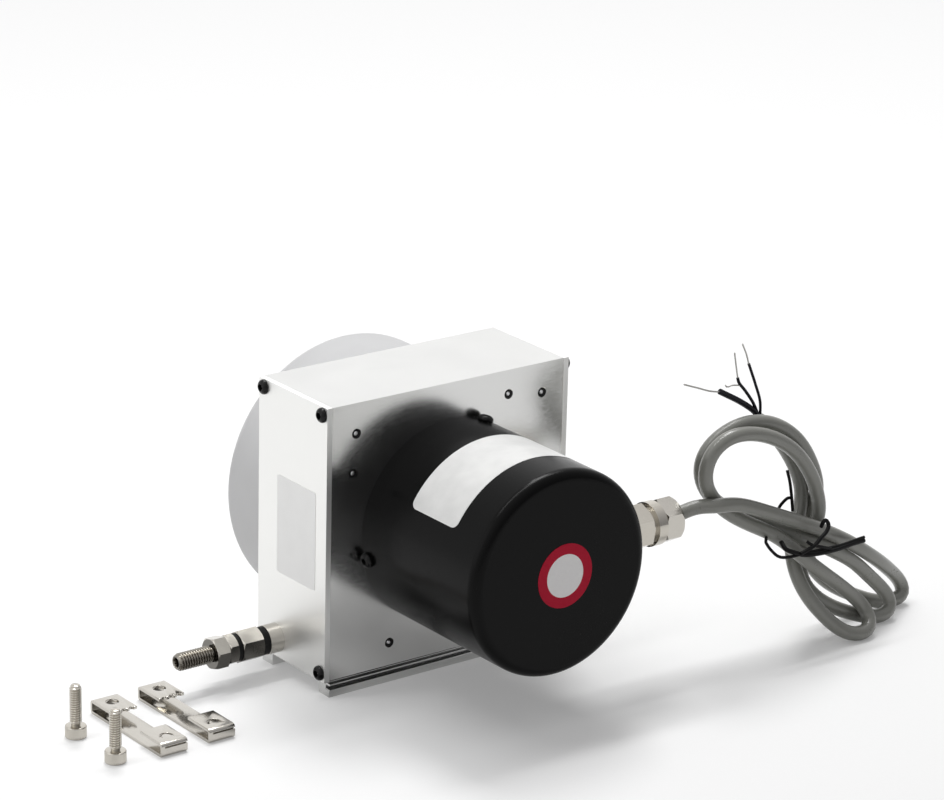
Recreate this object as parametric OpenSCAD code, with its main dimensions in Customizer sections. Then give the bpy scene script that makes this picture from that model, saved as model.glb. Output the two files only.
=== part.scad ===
// Draw wire encoder: a sprung drum pays out a steel wire and turns a rotary encoder.
// Millimetres, +Z up, standing on its clamp rails. The wire leaves towards -X, the encoder
// cover faces -Y and the spring housing +Y. The origin is the middle of the footprint.

/* [Housing] */
// Length of the extruded housing between its end plates
body_w = 94; // [80:1:140]
// Depth of the housing from its front face to its back face
body_d = 39; // [39:1:50]
// Height of the housing above its rails
body_h = 95; // [95:1:120]
// Thickness of the housing walls
wall = 2.5; // [2:0.1:3]
// Thickness of each end plate
plate_t = 2; // [1.5:0.1:4]

/* [Rails] */
// Height of the clamp rails under the housing
rail_h = 5.5; // [5:0.1:8]
// Width of each rail
rail_w = 6; // [5:0.1:8]
// Height of the lip that a clamp grips
lip_h = 2.8; // [2:0.1:3.5]
// Depth of the groove above the lip
groove_d = 2; // [1:0.1:2.5]

/* [Drum and shaft] */
// Clearance between the wound wire and the walls round the drum
drum_clear = 4.25; // [4:0.05:8]
// Number of wound turns of wire on the drum
wound_turns = 9; // [4:1:9]
// Distance from one turn to the next
turn_pitch = 1.1; // [1:0.05:1.2]
// Diameter of the draw wire
wire_d = 0.8; // [0.5:0.1:0.9]
// Diameter of the drum shaft
shaft_d = 8; // [6:0.5:9]

/* [Bearings] */
// Outer diameter of a drum bearing
bearing_od = 22; // [20:1:24]
// Width of a drum bearing
bearing_w = 7; // [5:1:8]

/* [Spring housing] */
// Outer diameter of the spring housing
spring_od = 95; // [90:1:100]
// Depth of the spring housing behind the box
spring_t = 22.5; // [20:0.5:35]
// Thickness of the spring strip
strip_t = 0.6; // [0.4:0.1:0.8]
// Number of turns of the spring strip
strip_turns = 8; // [4:1:10]

/* [Encoder cover] */
// Outer diameter of the encoder cover
cover_od = 70; // [67:0.2:76]
// Length of the encoder cover in front of the box
cover_l = 61; // [60:1:80]
// Wall thickness of the encoder cover
cover_t = 2; // [1.5:0.1:2.5]
// Radius of the rounded front edge of the cover
cover_round = 3.5; // [2:0.5:5]
// Thickness of the encoder flange inside the cover's mouth
flange_t = 7; // [6:0.5:8]

/* [Encoder] */
// Diameter of the encoder shaft
encoder_shaft_d = 6; // [4:0.5:6]
// Diameter of the code disc
disc_d = 30; // [26:1:32]
// Diameter of the circuit board
board_d = 43; // [41:1:46]

/* [Wire end] */
// Outer diameter of the outlet nozzle
nozzle_d = 10; // [9:0.5:12]
// Length of the outlet nozzle in front of the end plate
nozzle_l = 5.2; // [4:0.1:8]
// Thickness of the rubber bumper ring
bumper_t = 2.6; // [2:0.1:4]
// Width across the flats of the sleeve and its nuts
hex_af = 10; // [9:0.5:10]
// Length of the hexagonal sleeve
sleeve_l = 8.2; // [6:0.1:14]
// Thickness of the thin jam nut
jam_t = 3.6; // [3:0.1:5]
// Thickness of the lock nut
nut_t = 5; // [4:0.1:6]
// Diameter of the threaded stud
stud_d = 6; // [5:0.5:6]
// Length of stud in front of the lock nut
stud_l = 13.3; // [8:0.1:25]

/* [Cable gland] */
// Distance of the gland behind the front end of the cover
gland_inset = 20.6; // [19:0.1:22]
// Distance that the gland stands out of the cover
gland_l = 28.5; // [24:0.5:32]
// Width across the flats of the gland
gland_af = 14; // [13:0.5:15]
// Diameter of the signal cable
cable_d = 5; // [4:0.1:5.2]

/* [Clamps] */
// Width of a mounting clamp
clamp_w = 9.6; // [8:0.1:12]
// Clearance of a clamp round the rails at each side
clamp_gap = 1; // [0.5:0.1:1.5]
// Thickness of the clamp strip
clamp_t = 1; // [0.8:0.1:1.2]
// Length of each folded clamp tab
tab_l = 13; // [12:0.5:15]
// Diameter of the clamp screw's hole
clamp_hole_d = 4.5; // [4.3:0.1:5]
// Diameter of the clamp screws
clamp_screw_d = 4; // [3:0.1:4]
// Length of the clamp screws under the head
clamp_screw_l = 14; // [10:1:20]

/* [Hidden] */
$fn = 64;

// Clearances
slip = 0.2;          // parts that slide together by hand
run = 0.05;          // a shaft in its bearing
gap = 0.4;           // a moving part beside a fixed one

// Housing
front_y = -body_d / 2;
back_y = body_d / 2;
top_z = rail_h + body_h;
axis_z = rail_h + body_h / 2;
plate_x = body_w / 2;
outer_x = plate_x + plate_t;
inner_y = body_d / 2 - wall;
corner_in = 2.8;                       // screw port to the housing's corner
port_r = 1.25;
port_boss_r = 2.4;
port_l = 12;
flange_bore_r = 25;                    // opening in the front wall
spring_bore_r = 30;                    // opening in the back wall

// Screws
small_r = 1.25;                        // radius of the small machine screws
button_r = 2.5;
button_h = 1.6;
grip = 4;                              // thread of a small screw in what it holds to
face_sink = 0.6;                       // counterbore of a threaded hole in the front face
face_places = [[24, top_z - 8.5], [38, top_z - 10.5], [-37.5, top_z - 10.5],
  [-38.5, top_z - 24], [-23, rail_h + 8.5], [24, rail_h + 8.5]];
flange_screw_at = 28;
flange_screw_angles = [10, 130, 250];
plate_screw_at = 37;
plate_screw_angles = [0, 90, 180, 270];
spring_screw_angles = [45, 315];

// Drum
wire_r = wire_d / 2;
pitch_r = min(plate_x, body_h / 2 - wall) - drum_clear;
wire_z = axis_z - pitch_r;
wire_y = 8.5;                          // outlet, behind the middle of the box
drum_w = (wound_turns + 2) * turn_pitch;
drum_rim = 1.6;
drum_y1 = wire_y + 1.5 * turn_pitch + drum_rim;
drum_y0 = drum_y1 - drum_w - 2 * drum_rim;
drum_mid = (drum_y0 + drum_y1) / 2;
groove_r = pitch_r - wire_r - 0.04;
flange_r = pitch_r + 0.8;
web_t = 3;
hub_r = shaft_d / 2 + 6;
shaft_r = shaft_d / 2;

// Bearings and their carriers
flange_y = front_y - flange_t;
front_seat = -inner_y - 4;             // front bearing, in the flange's boss
rear_seat = inner_y - 3;               // rear bearing, in the spring plate's boss
spring_plate_t = 4;
bearing_r = bearing_od / 2;
boss_r = bearing_r + 4;
shoulder_r = bearing_r - 2.5;
hub_y0 = front_seat + bearing_w + gap;
hub_y1 = rear_seat - gap;
set_screw_ys = [hub_y0 + 4, drum_y0 - 3];
bearing_inner_r = shaft_r + 2;
bearing_outer_in = bearing_r - 2;
seats = [front_seat, rear_seat];

// Spring housing
spring_r = spring_od / 2;
spring_wall = 2;
spring_y0 = back_y + spring_plate_t;
spring_y1 = back_y + spring_t;
strip_y0 = spring_y0 + 1.2;
strip_y1 = spring_y1 - spring_wall - 1.2;
arbor_r = shaft_r + 4;
strip_in = arbor_r + gap;
strip_out = spring_r - spring_wall - 0.3;
strip_pitch = (strip_out - strip_in - strip_t) / strip_turns;
arbor_y0 = strip_y0 - 0.6;
arbor_pin_y = (strip_y0 + strip_y1) / 2;
pin_r = 1.5;

// Encoder cover and flange
cover_r = cover_od / 2;
cover_in = cover_r - cover_t;
cover_y = front_y - cover_l;
flange_edge = cover_in - slip;
seal_y = flange_y + 1.5;               // sealing ring, clear of the radial screws
seal_w = 1.4;
seal_depth = 0.9;
rim_y = front_y - flange_t / 2;        // the cover's radial screws
cover_screw_angles = [70, 190, 310];

// Encoder
coupling_y0 = flange_y - 1;
coupling_r = 9.5;
hub_l = 7.5;
tongue_l = 1.5;
disc_l = 4;
coupling_y1 = coupling_y0 - hub_l;
coupling_y2 = coupling_y1 - disc_l;
coupling_y3 = coupling_y2 - hub_l;
shaft_y0 = coupling_y1 + 1;
shaft_y1 = strip_y1;
base_y = coupling_y3 - 1.5;
base_t = 3;
base_r = 24;
standoff_r = 3;
standoff_at = base_r - standoff_r - 0.5;
standoff_angles = [70, 190, 310];
case_r = 14;
case_l = 6.5;
case_y = base_y - base_t - case_l;
case_bearing_r = 6.5;
case_bearing_w = 4;
disc_t = 1;
disc_y = case_y - 3.2;
enc_r = encoder_shaft_d / 2;
disc_hub_r = enc_r + 3;
board_y = disc_y - 4.5;
board_t = 1.6;
board_r = board_d / 2;
post_r = 1.8;
post_at = board_r - post_r - 0.4;
post_angles = [20, 140, 260];
encoder_shaft_end = disc_y - disc_t - 1.5;
track_r = disc_d / 2 - 3;

// Wire end, from the end plate outwards
nozzle_x = -outer_x - nozzle_l;
bumper_x = nozzle_x - bumper_t;
sleeve_x = bumper_x - sleeve_l;
washer_t = 1.6;
washer_x = sleeve_x - washer_t;
jam_x = washer_x - jam_t;
nut_x = jam_x - nut_t;
stud_x = nut_x - stud_l;
thread_r = stud_d / 2 - 0.5;           // core of the stud, on which its nuts sit
nozzle_thread_r = 2.4;
nozzle_nut_r = 4;
ferrule_r = 2;
eyelet_r = nozzle_d / 2 - 1.4;
eyelet_bore = wire_r + 0.45;

// Gland and cable
gland_y = cover_y + gland_inset;
gland_x1 = cover_r + gland_l;
gland_r = gland_af / 2 - 0.6;
cable_r = cable_d / 2;
gland_bore = cable_r + 0.35;
gland_flange_r = gland_af / 2 + 0.8;
gland_seat = sqrt(pow(cover_r, 2) - pow(gland_flange_r, 2)) - 0.1;
gland_nut_af = gland_af + 2;
gland_nut_x = sqrt(pow(cover_in, 2) - pow(gland_nut_af / 2, 2)) - 0.02;
gland_nut_l = 3;
gland_in = gland_nut_x - gland_nut_l;
collar_l = 3.6;
cap_l = 8.5;
collar_x = gland_x1 - cap_l - collar_l;
// Route of the cable from the gland to the tied hank
cable_points = [[gland_in - 2, gland_y, axis_z], [gland_x1, gland_y, axis_z],
  [67, -59.5, 53.8], [76, -60, 54]];
// Upper loops of the hank: a flat ring with round ends
hank_y = -63;
hank_w = 13;
loop_x = 98;
loop_z = 65;
loop_half = 8.5;
loop_r = 19;
loop_hole = 9.5;
// Waist of the hank, where the tie holds it
waist = [122, hank_y, 34];
waist_r = 8;
waist_l = 34;
waist_tilt = 140;
tie_w = 1.6;
// Loops that fan out below the waist and rest on the floor
fan_r = 9.5;
fan_w = 15;
fan_y = -67;
fan_ends = [[128, 22], [163, fan_r]];
fan_run = fan_ends[1] - fan_ends[0];
// Stripped ends of the conductors
lead_radii = [1.1, 0.6, 0.6];
lead_start = [94, hank_y, loop_z + loop_r - 0.5];
lead_bends = [[84, -62, 91], [89, -62.5, 92], [93, -62, 94]];
lead_ends = [[67, -60, 97], [84, -61, 104], [88, -60, 108]];

// Mounting clamps, loose beside the encoder
clamp_h = lip_h + 2 * clamp_t;
clamp_l = body_d + 2 * (clamp_gap + clamp_t);
clamp_places = [[-113.4, -8.2], [-94.9, -7.4]];
clamp_hole_in = 5.5;
tongue_w = 4.2;
screw_places = [[-131.8, 0, 0], [-131.5, -23.4, 0]];
screw_head_r = clamp_screw_d / 2 + 1.5;
screw_head_h = clamp_screw_d;

// A round bar along Y, from y0 to y1
module rod_y(r, y0, y1, x = 0, z = axis_z) {
  translate([x, min(y0, y1), z]) rotate([-90, 0, 0]) cylinder(r = r, h = abs(y1 - y0));
}

// A round bar along X, from x0 to x1
module rod_x(r, x0, x1, y = wire_y, z = wire_z) {
  translate([min(x0, x1), y, z]) rotate([0, 90, 0]) cylinder(r = r, h = abs(x1 - x0));
}

// A hexagonal bar along X, with its corners chamfered at the ends
module hex_x(af, x0, x1, turn, y = wire_y, z = wire_z) {
  r = af / sqrt(3);
  len = abs(x1 - x0);
  translate([min(x0, x1), y, z]) rotate([0, 90, 0]) intersection() {
    rotate(turn) cylinder(r = r, h = len, $fn = 6);
    rotate_extrude() polygon([
      [0, 0], [af / 2, 0], [r, 0.5], [r, len - 0.5], [af / 2, len], [0, len]]);
  }
}

// The four screw ports of the housing's corners, as [y, z]
function ports() = [for (y = [front_y + corner_in, back_y - corner_in])
  for (z = [rail_h + corner_in, top_z - corner_in]) [y, z]];

// Places spread round the main axis
module around(angles, r) {
  for (a = angles) translate([r * cos(a), 0, r * sin(a)]) children();
}

// Extruded section of the housing: a closed box with screw ports and two grooved rails
module housing_section() {
  difference() {
    translate([front_y, rail_h]) square([body_d, body_h]);
    difference() {
      translate([-inner_y, rail_h + wall]) square([2 * inner_y, body_h - 2 * wall]);
      for (p = ports()) translate(p) circle(r = port_boss_r);
    }
  }
  for (s = [-1, 1]) scale([s, 1]) {
    translate([body_d / 2 - rail_w, 0]) square([rail_w, lip_h]);
    translate([body_d / 2 - rail_w, 0]) square([rail_w - groove_d, rail_h + 0.5]);
  }
}

module housing() {
  color("gainsboro") difference() {
    translate([-plate_x, 0, 0]) rotate([90, 0, 90]) linear_extrude(body_w) housing_section();
    rod_y(flange_bore_r, front_y - 1, 0);
    rod_y(spring_bore_r, 0, back_y + 1);
    for (p = ports()) for (x = [-plate_x, plate_x]) {
      rod_x(port_r, x - port_l, x + port_l, p[0], p[1]);
    }
    for (p = face_places) translate([p[0], front_y - 1, p[1]]) rotate([-90, 0, 0]) {
      cylinder(r = small_r, h = wall + 2);
      cylinder(r = small_r + 0.5, h = 1 + face_sink);
    }
    for (a = flange_screw_angles) rod_y(small_r, front_y - 1, -inner_y + 1,
      flange_screw_at * cos(a), axis_z + flange_screw_at * sin(a));
    for (a = plate_screw_angles) rod_y(small_r, inner_y - 1, back_y + 1,
      plate_screw_at * cos(a), axis_z + plate_screw_at * sin(a));
  }
}

// Flat end plate at one end of the housing
module end_plate(x) {
  difference() {
    translate([x, front_y, rail_h]) cube([plate_t, body_d, body_h]);
    for (p = ports()) rod_x(small_r + slip, x - 1, x + plate_t + 1, p[0], p[1]);
  }
}

module wire_end_plate() {
  color("whitesmoke") difference() {
    end_plate(-outer_x);
    rod_x(nozzle_thread_r + slip, -outer_x - 1, -plate_x + 1);
  }
}

module rear_end_plate() {
  color("whitesmoke") end_plate(plate_x);
}

// Button head screw along +Z, its head on the plane z = 0, with a hexagon socket
module button_screw(r, head_r, head_h, len) {
  difference() {
    union() {
      translate([0, 0, -len]) cylinder(r = r, h = len);
      cylinder(r = head_r, h = head_h * 0.5);
      translate([0, 0, head_h * 0.5]) cylinder(r1 = head_r, r2 = head_r * 0.6, h = head_h * 0.5);
    }
    translate([0, 0, head_h * 0.35]) cylinder(r = head_r * 0.42, h = head_h, $fn = 6);
  }
}

module end_plate_screws() {
  color("black") for (p = ports()) for (s = [-1, 1]) {
    translate([s * outer_x, p[0], p[1]]) rotate([0, s * 90, 0]) {
      button_screw(port_r - 0.01, button_r, button_h, port_l - 1);
    }
  }
}

// Set screws that close the spare threaded holes of the front face
module face_screws() {
  color("dimgray") for (p = face_places) translate([p[0], front_y, p[1]]) rotate([90, 0, 0]) {
    difference() {
      translate([0, 0, -wall - 1]) cylinder(r = small_r, h = wall + 0.8);
      translate([0, 0, -1.2]) cylinder(r = small_r * 0.55, h = 2, $fn = 6);
    }
  }
}

// Turned flange on the front face: it carries the front bearing and the cover
module encoder_flange() {
  color("lightgray") difference() {
    union() {
      rod_y(flange_edge, flange_y, front_y);
      rod_y(flange_bore_r - slip, front_y - 1, -inner_y);
      rod_y(boss_r, front_y - 1, front_seat + bearing_w - 1);
    }
    rod_y(bearing_r, front_seat, front_seat + bearing_w + 1);
    rod_y(shoulder_r, flange_y - 1, front_seat + 1);
    for (a = flange_screw_angles) {
      rod_y(small_r + slip, flange_y - 1, front_y + 1,
        flange_screw_at * cos(a), axis_z + flange_screw_at * sin(a));
      rod_y(button_r, flange_y - 1, flange_y + 2,
        flange_screw_at * cos(a), axis_z + flange_screw_at * sin(a));
    }
    for (a = cover_screw_angles) translate([0, rim_y, axis_z]) rotate([0, 90 - a, 0]) {
      translate([0, 0, flange_edge - grip - 1]) cylinder(r = small_r, h = grip + 2);
    }
    for (a = standoff_angles) {
      rod_y(small_r, flange_y - 1, flange_y + grip + 1,
        standoff_at * cos(a), axis_z + standoff_at * sin(a));
    }
    translate([0, seal_y - seal_w / 2, axis_z]) rotate([-90, 0, 0]) rotate_extrude() {
      translate([flange_edge - seal_depth, 0]) square([2, seal_w]);
    }
  }
}

module flange_screws() {
  color("black") translate([0, flange_y + 2, axis_z]) around(flange_screw_angles, flange_screw_at) {
    rotate([90, 0, 0]) button_screw(small_r - 0.01, button_r - slip, button_h, flange_t + wall - 2.5);
  }
}

// Disc on the back face: it carries the rear bearing and closes the spring housing
module spring_plate() {
  color("silver") difference() {
    union() {
      rod_y(spring_r - spring_wall - slip, back_y, spring_y0);
      rod_y(spring_bore_r - slip, inner_y, back_y + 1);
      rod_y(boss_r, rear_seat + 1, back_y + 1);
    }
    rod_y(bearing_r, rear_seat, rear_seat + bearing_w);
    rod_y(shoulder_r, rear_seat, spring_y0 + 1);
    for (a = plate_screw_angles) {
      rod_y(small_r + slip, back_y - 1, spring_y0 + 1,
        plate_screw_at * cos(a), axis_z + plate_screw_at * sin(a));
      rod_y(button_r, spring_y0 - 2, spring_y0 + 1,
        plate_screw_at * cos(a), axis_z + plate_screw_at * sin(a));
    }
    for (a = spring_screw_angles) translate([0, back_y + 2, axis_z]) rotate([0, 90 - a, 0]) {
      translate([0, 0, spring_r - spring_wall - grip - 1]) cylinder(r = small_r, h = grip + 2);
    }
  }
}

module spring_plate_screws() {
  color("black") translate([0, spring_y0 - 2, axis_z]) around(plate_screw_angles, plate_screw_at) {
    rotate([-90, 0, 0]) button_screw(small_r - 0.01, button_r - slip, button_h, spring_plate_t);
  }
}

// A ring round the main axis
module ring_y(outer, inner, y0, y1) {
  difference() {
    rod_y(outer, y0, y1);
    rod_y(inner, min(y0, y1) - 1, max(y0, y1) + 1);
  }
}

module bearing_outer_rings() {
  color("silver") for (y = seats) ring_y(bearing_r, bearing_outer_in, y, y + bearing_w);
}

module bearing_shields() {
  color("gray") for (y = seats) for (s = [0.3, bearing_w - 0.7]) {
    ring_y(bearing_outer_in, bearing_inner_r + 0.3, y + s, y + s + 0.4);
  }
}

module bearing_inner_rings() {
  color("silver") for (y = seats) ring_y(bearing_inner_r, shaft_r, y, y + bearing_w);
}

module drum_shaft() {
  color("silver") difference() {
    rod_y(shaft_r, shaft_y0, shaft_y1);
    translate([0, arbor_pin_y, axis_z]) cylinder(r = pin_r, h = 3 * shaft_d, center = true);
  }
}

// Grooved drum: rim with a groove for each turn of wire, web with holes, and hub
module drum() {
  rim_in = groove_r - 3;
  color("lightsteelblue") difference() {
    union() {
      translate([0, drum_y0, axis_z]) rotate([-90, 0, 0]) rotate_extrude() {
        difference() {
          translate([rim_in, 0]) square([flange_r - rim_in, drum_y1 - drum_y0]);
          translate([pitch_r, drum_rim]) square([flange_r, drum_w]);
          for (k = [0:wound_turns - 1]) {
            translate([pitch_r, wire_y - drum_y0 - turn_pitch * k]) {
              circle(r = wire_r + 0.04, $fn = 24);
            }
          }
        }
      }
      rod_y(rim_in + 0.5, drum_mid - web_t / 2, drum_mid + web_t / 2);
      rod_y(hub_r, hub_y0, hub_y1);
    }
    rod_y(shaft_r, hub_y0 - 1, hub_y1 + 1);
    translate([0, drum_mid, axis_z]) around([0:60:300], (hub_r + rim_in) / 2) {
      rotate([90, 0, 0]) cylinder(r = (rim_in - hub_r) / 2 - 4, h = web_t + 2, center = true);
    }
    for (y = set_screw_ys) translate([0, y, axis_z]) cylinder(r = small_r, h = hub_r + 1);
  }
}

module drum_set_screws() {
  color("black") for (y = set_screw_ys) translate([0, y, axis_z + shaft_r]) {
    cylinder(r = small_r - 0.01, h = hub_r - shaft_r - 0.5);
  }
}

// Turns of wire in the grooves; the first one ends where the wire leaves the drum
module wound_wire() {
  color("silver") for (k = [0:wound_turns - 1]) {
    translate([0, wire_y - turn_pitch * k, axis_z]) rotate([-90, 0, 0]) rotate(90) mirror([0, 1]) {
      rotate_extrude(angle = k == 0 ? 340 : 360) translate([pitch_r, 0]) circle(r = wire_r, $fn = 24);
    }
  }
}

// Straight wire: it leaves the drum at its lowest point and ends in the sleeve
module draw_wire() {
  color("silver") rod_x(wire_r, sleeve_x + 1.5, 0);
}

module spring_arbor() {
  color("darkgray") difference() {
    rod_y(arbor_r, arbor_y0, strip_y1);
    rod_y(shaft_r, arbor_y0 - 1, strip_y1 + 1);
    translate([0, arbor_pin_y, axis_z]) cylinder(r = pin_r, h = 3 * arbor_r, center = true);
  }
}

module arbor_pin() {
  color("dimgray") translate([0, arbor_pin_y, axis_z]) {
    cylinder(r = pin_r - 0.01, h = 2 * arbor_r - 0.6, center = true);
  }
}

// Power spring: a spiral strip made of half turns about two centres, its end hooked to the cup
module mainspring() {
  half = strip_pitch / 2;
  strip_w = strip_y1 - strip_y0;
  color("steelblue") translate([0, strip_y0, axis_z]) rotate([-90, 0, 0]) {
    for (k = [0:2 * strip_turns - 1]) {
      translate([k % 2 * half, 0, 0]) rotate(k % 2 * 180) rotate_extrude(angle = 180) {
        translate([strip_in + half * k, 0]) square([strip_t, strip_w]);
      }
    }
    intersection() {
      translate([strip_out - strip_t, -3, 0]) cube([2, 5, strip_w]);
      cylinder(r = spring_r - spring_wall, h = strip_w);
    }
  }
}

// Drawn cup over the spring, with a rounded back edge
module spring_housing() {
  round_r = 3;
  color("darkgray") difference() {
    translate([0, back_y, axis_z]) rotate([-90, 0, 0]) rotate_extrude() union() {
      square([spring_r, spring_t - round_r]);
      square([spring_r - round_r, spring_t]);
      translate([spring_r - round_r, spring_t - round_r]) circle(r = round_r);
    }
    rod_y(spring_r - spring_wall, back_y - 1, spring_y1 - spring_wall);
    for (a = spring_screw_angles) translate([0, back_y + 2, axis_z]) rotate([0, 90 - a, 0]) {
      translate([0, 0, spring_r - grip]) cylinder(r = small_r + slip, h = 2 * grip);
    }
  }
}

module spring_housing_screws() {
  color("black") for (a = spring_screw_angles) {
    translate([0, back_y + 2, axis_z]) rotate([0, 90 - a, 0]) translate([0, 0, spring_r]) {
      button_screw(small_r - 0.01, 2, 1.2, spring_wall + grip);
    }
  }
}

// Outlet on the end plate, with the thread that its nut holds inside
module outlet_nozzle() {
  color("silver") difference() {
    union() {
      rod_x(nozzle_d / 2, nozzle_x, -outer_x);
      rod_x(nozzle_thread_r, -outer_x - 1, -plate_x + 3.5);
    }
    rod_x(eyelet_r, nozzle_x - 1, nozzle_x + 3);
    rod_x(eyelet_bore + 0.5, nozzle_x, -plate_x + 6);
  }
}

module guide_eyelet() {
  color("ivory") translate([nozzle_x + 0.4, wire_y, wire_z]) rotate([0, 90, 0]) rotate_extrude() {
    difference() {
      translate([eyelet_bore, 0]) square([eyelet_r - eyelet_bore, 2.6]);
      translate([eyelet_bore - 0.3, -0.3]) circle(r = 1);
    }
  }
}

// Round nut with two spanner slots
module nozzle_nut() {
  color("silver") difference() {
    rod_x(nozzle_nut_r, -plate_x, -plate_x + 2.5);
    rod_x(nozzle_thread_r, -plate_x - 1, -plate_x + 4);
    translate([-plate_x + 2, wire_y - 0.6, wire_z - 5]) cube([2, 1.2, 10]);
  }
}

module bumper_ring() {
  color("black") difference() {
    rod_x(nozzle_d / 2 - 0.2, bumper_x, nozzle_x);
    rod_x(ferrule_r + slip, bumper_x - 1, nozzle_x + 1);
  }
}

module hex_sleeve() {
  color("silver") difference() {
    hex_x(hex_af, sleeve_x, bumper_x, 0);
    rod_x(ferrule_r, sleeve_x + 2, bumper_x + 1);
    rod_x(wire_r + 0.1, sleeve_x + 1, sleeve_x + 3);
    rod_x(thread_r, sleeve_x - 1, sleeve_x + 1);
  }
}

module wire_ferrule() {
  color("gray") difference() {
    rod_x(ferrule_r, sleeve_x + 2, bumper_x + 0.6);
    rod_x(wire_r, sleeve_x + 1, bumper_x + 2);
  }
}

module seal_washer() {
  color("black") difference() {
    rod_x(hex_af / 2 - 0.4, washer_x, sleeve_x);
    rod_x(thread_r, washer_x - 1, sleeve_x + 1);
  }
}

module jam_nut() {
  color("silver") difference() {
    hex_x(hex_af - 0.4, jam_x, washer_x, 0);
    rod_x(thread_r, jam_x - 1, washer_x + 1);
  }
}

module lock_nut() {
  color("silver") difference() {
    hex_x(hex_af, nut_x, jam_x, 15);
    rod_x(thread_r, nut_x - 1, jam_x + 1);
  }
}

// Stud with a chamfered tip and a hexagon socket
module threaded_stud() {
  r = stud_d / 2;
  tip = 0.7;
  color("silver") difference() {
    translate([stud_x, wire_y, wire_z]) rotate([0, 90, 0]) rotate_extrude() {
      polygon([[0, 0], [r - tip, 0], [r, tip], [r, stud_l], [thread_r, stud_l],
        [thread_r, sleeve_x + 1 - stud_x], [0, sleeve_x + 1 - stud_x]]);
    }
    translate([stud_x - 1, wire_y, wire_z]) rotate([0, 90, 0]) {
      cylinder(r = stud_d / 2 / sqrt(3), h = 4, $fn = 6);
    }
  }
}

module encoder_standoffs() {
  color("silver") translate([0, flange_y, axis_z]) around(standoff_angles, standoff_at) {
    difference() {
      rotate([90, 0, 0]) cylinder(r = standoff_r, h = flange_y - base_y, $fn = 6);
      translate([0, base_y - flange_y, 0]) rotate([90, 0, 0]) {
        cylinder(r = small_r, h = 2 * (grip + 0.5), center = true);
      }
    }
    rotate([-90, 0, 0]) cylinder(r = small_r, h = grip);
  }
}

// Base of the encoder: a flange on the standoffs and a boss round the bearing
module encoder_base() {
  color("slategray") difference() {
    union() {
      rod_y(base_r, base_y - base_t, base_y);
      rod_y(case_r, case_y, base_y - base_t);
    }
    rod_y(case_bearing_r, case_y + 1, base_y + 1);
    rod_y(enc_r + 1, case_y - 1, base_y + 1);
    for (a = standoff_angles) {
      rod_y(small_r + slip, base_y - base_t - 1, base_y + 1,
        standoff_at * cos(a), axis_z + standoff_at * sin(a));
    }
  }
}

module base_screws() {
  color("black") translate([0, base_y - base_t, axis_z]) around(standoff_angles, standoff_at) {
    rotate([90, 0, 0]) button_screw(small_r - 0.01, 2.2, 1.4, base_t + grip);
  }
}

module encoder_bearings() {
  color("silver") for (y = [case_y + 1, base_y - case_bearing_w]) {
    ring_y(case_bearing_r, enc_r + run, y, y + case_bearing_w);
  }
}

module encoder_shaft() {
  color("silver") rod_y(enc_r, encoder_shaft_end, coupling_y3 + hub_l - 1);
}

// Oldham coupling: two hubs with a tongue each, and a disc with crossed slots
module coupling_hub(y0, y1, bore_r, tongue_y, turn) {
  difference() {
    union() {
      rod_y(coupling_r, y0, y1);
      translate([0, tongue_y, axis_z]) rotate([0, turn, 0]) {
        cube([2 * coupling_r - 3, tongue_l * 2, 4], center = true);
      }
    }
    rod_y(bore_r, min(y0, y1) - 2, max(y0, y1) + 2);
  }
}

module coupling_drum_hub() {
  color("silver") coupling_hub(coupling_y0, coupling_y1, shaft_r, coupling_y1, 0);
}

module coupling_disc() {
  color("ivory") difference() {
    rod_y(coupling_r, coupling_y1, coupling_y2);
    rod_y(shaft_r + 0.5, coupling_y1 + 1, coupling_y2 - 1);
    for (t = [[coupling_y1, 0], [coupling_y2, 90]]) translate([0, t[0], axis_z]) rotate([0, t[1], 0]) {
      cube([2 * coupling_r + 1, tongue_l * 2 + 0.1, 4.1], center = true);
    }
  }
}

module coupling_encoder_hub() {
  color("silver") coupling_hub(coupling_y2, coupling_y3, enc_r, coupling_y2, 90);
}

module disc_hub() {
  color("silver") ring_y(disc_hub_r, enc_r, disc_y, case_y - gap);
}

module code_disc() {
  color("lightblue") difference() {
    rod_y(disc_d / 2, disc_y - disc_t, disc_y);
    rod_y(enc_r, disc_y - disc_t - 1, disc_y + 1);
  }
}

module board_posts() {
  color("gold") translate([0, board_y, axis_z]) around(post_angles, post_at) {
    rotate([-90, 0, 0]) cylinder(r = post_r, h = base_y - base_t - board_y);
  }
}

module circuit_board() {
  color("darkgreen") difference() {
    rod_y(board_r, board_y - board_t, board_y);
    rod_y(enc_r + 1.5, board_y - board_t - 1, board_y + 1);
  }
}

module light_source() {
  color("dimgray") translate([-2, disc_y + 0.7, axis_z + track_r - 2]) {
    cube([4, case_y - disc_y - 0.7, 4]);
  }
}

module sensor_head() {
  color("black") translate([-4, board_y, axis_z + track_r - 3]) {
    cube([8, disc_y - disc_t - 0.6 - board_y, 6]);
  }
}

// Turned cover with a rounded front edge, radial screw holes and a flat seat for the gland
module encoder_cover() {
  color("#202020") difference() {
    translate([0, front_y, axis_z]) rotate([90, 0, 0]) rotate_extrude() union() {
      square([cover_r, cover_l - cover_round]);
      square([cover_r - cover_round, cover_l]);
      translate([cover_r - cover_round, cover_l - cover_round]) circle(r = cover_round);
    }
    rod_y(cover_in, cover_y + cover_t, front_y + 1);
    for (a = cover_screw_angles) translate([0, rim_y, axis_z]) rotate([0, 90 - a, 0]) {
      translate([0, 0, cover_in - 2]) cylinder(r = small_r + slip, h = cover_t + grip);
    }
    rod_x(gland_r, cover_in - 4, cover_r + 2, gland_y, axis_z);
    rod_x(gland_flange_r, gland_seat, cover_r + 2, gland_y, axis_z);
  }
}

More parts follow.
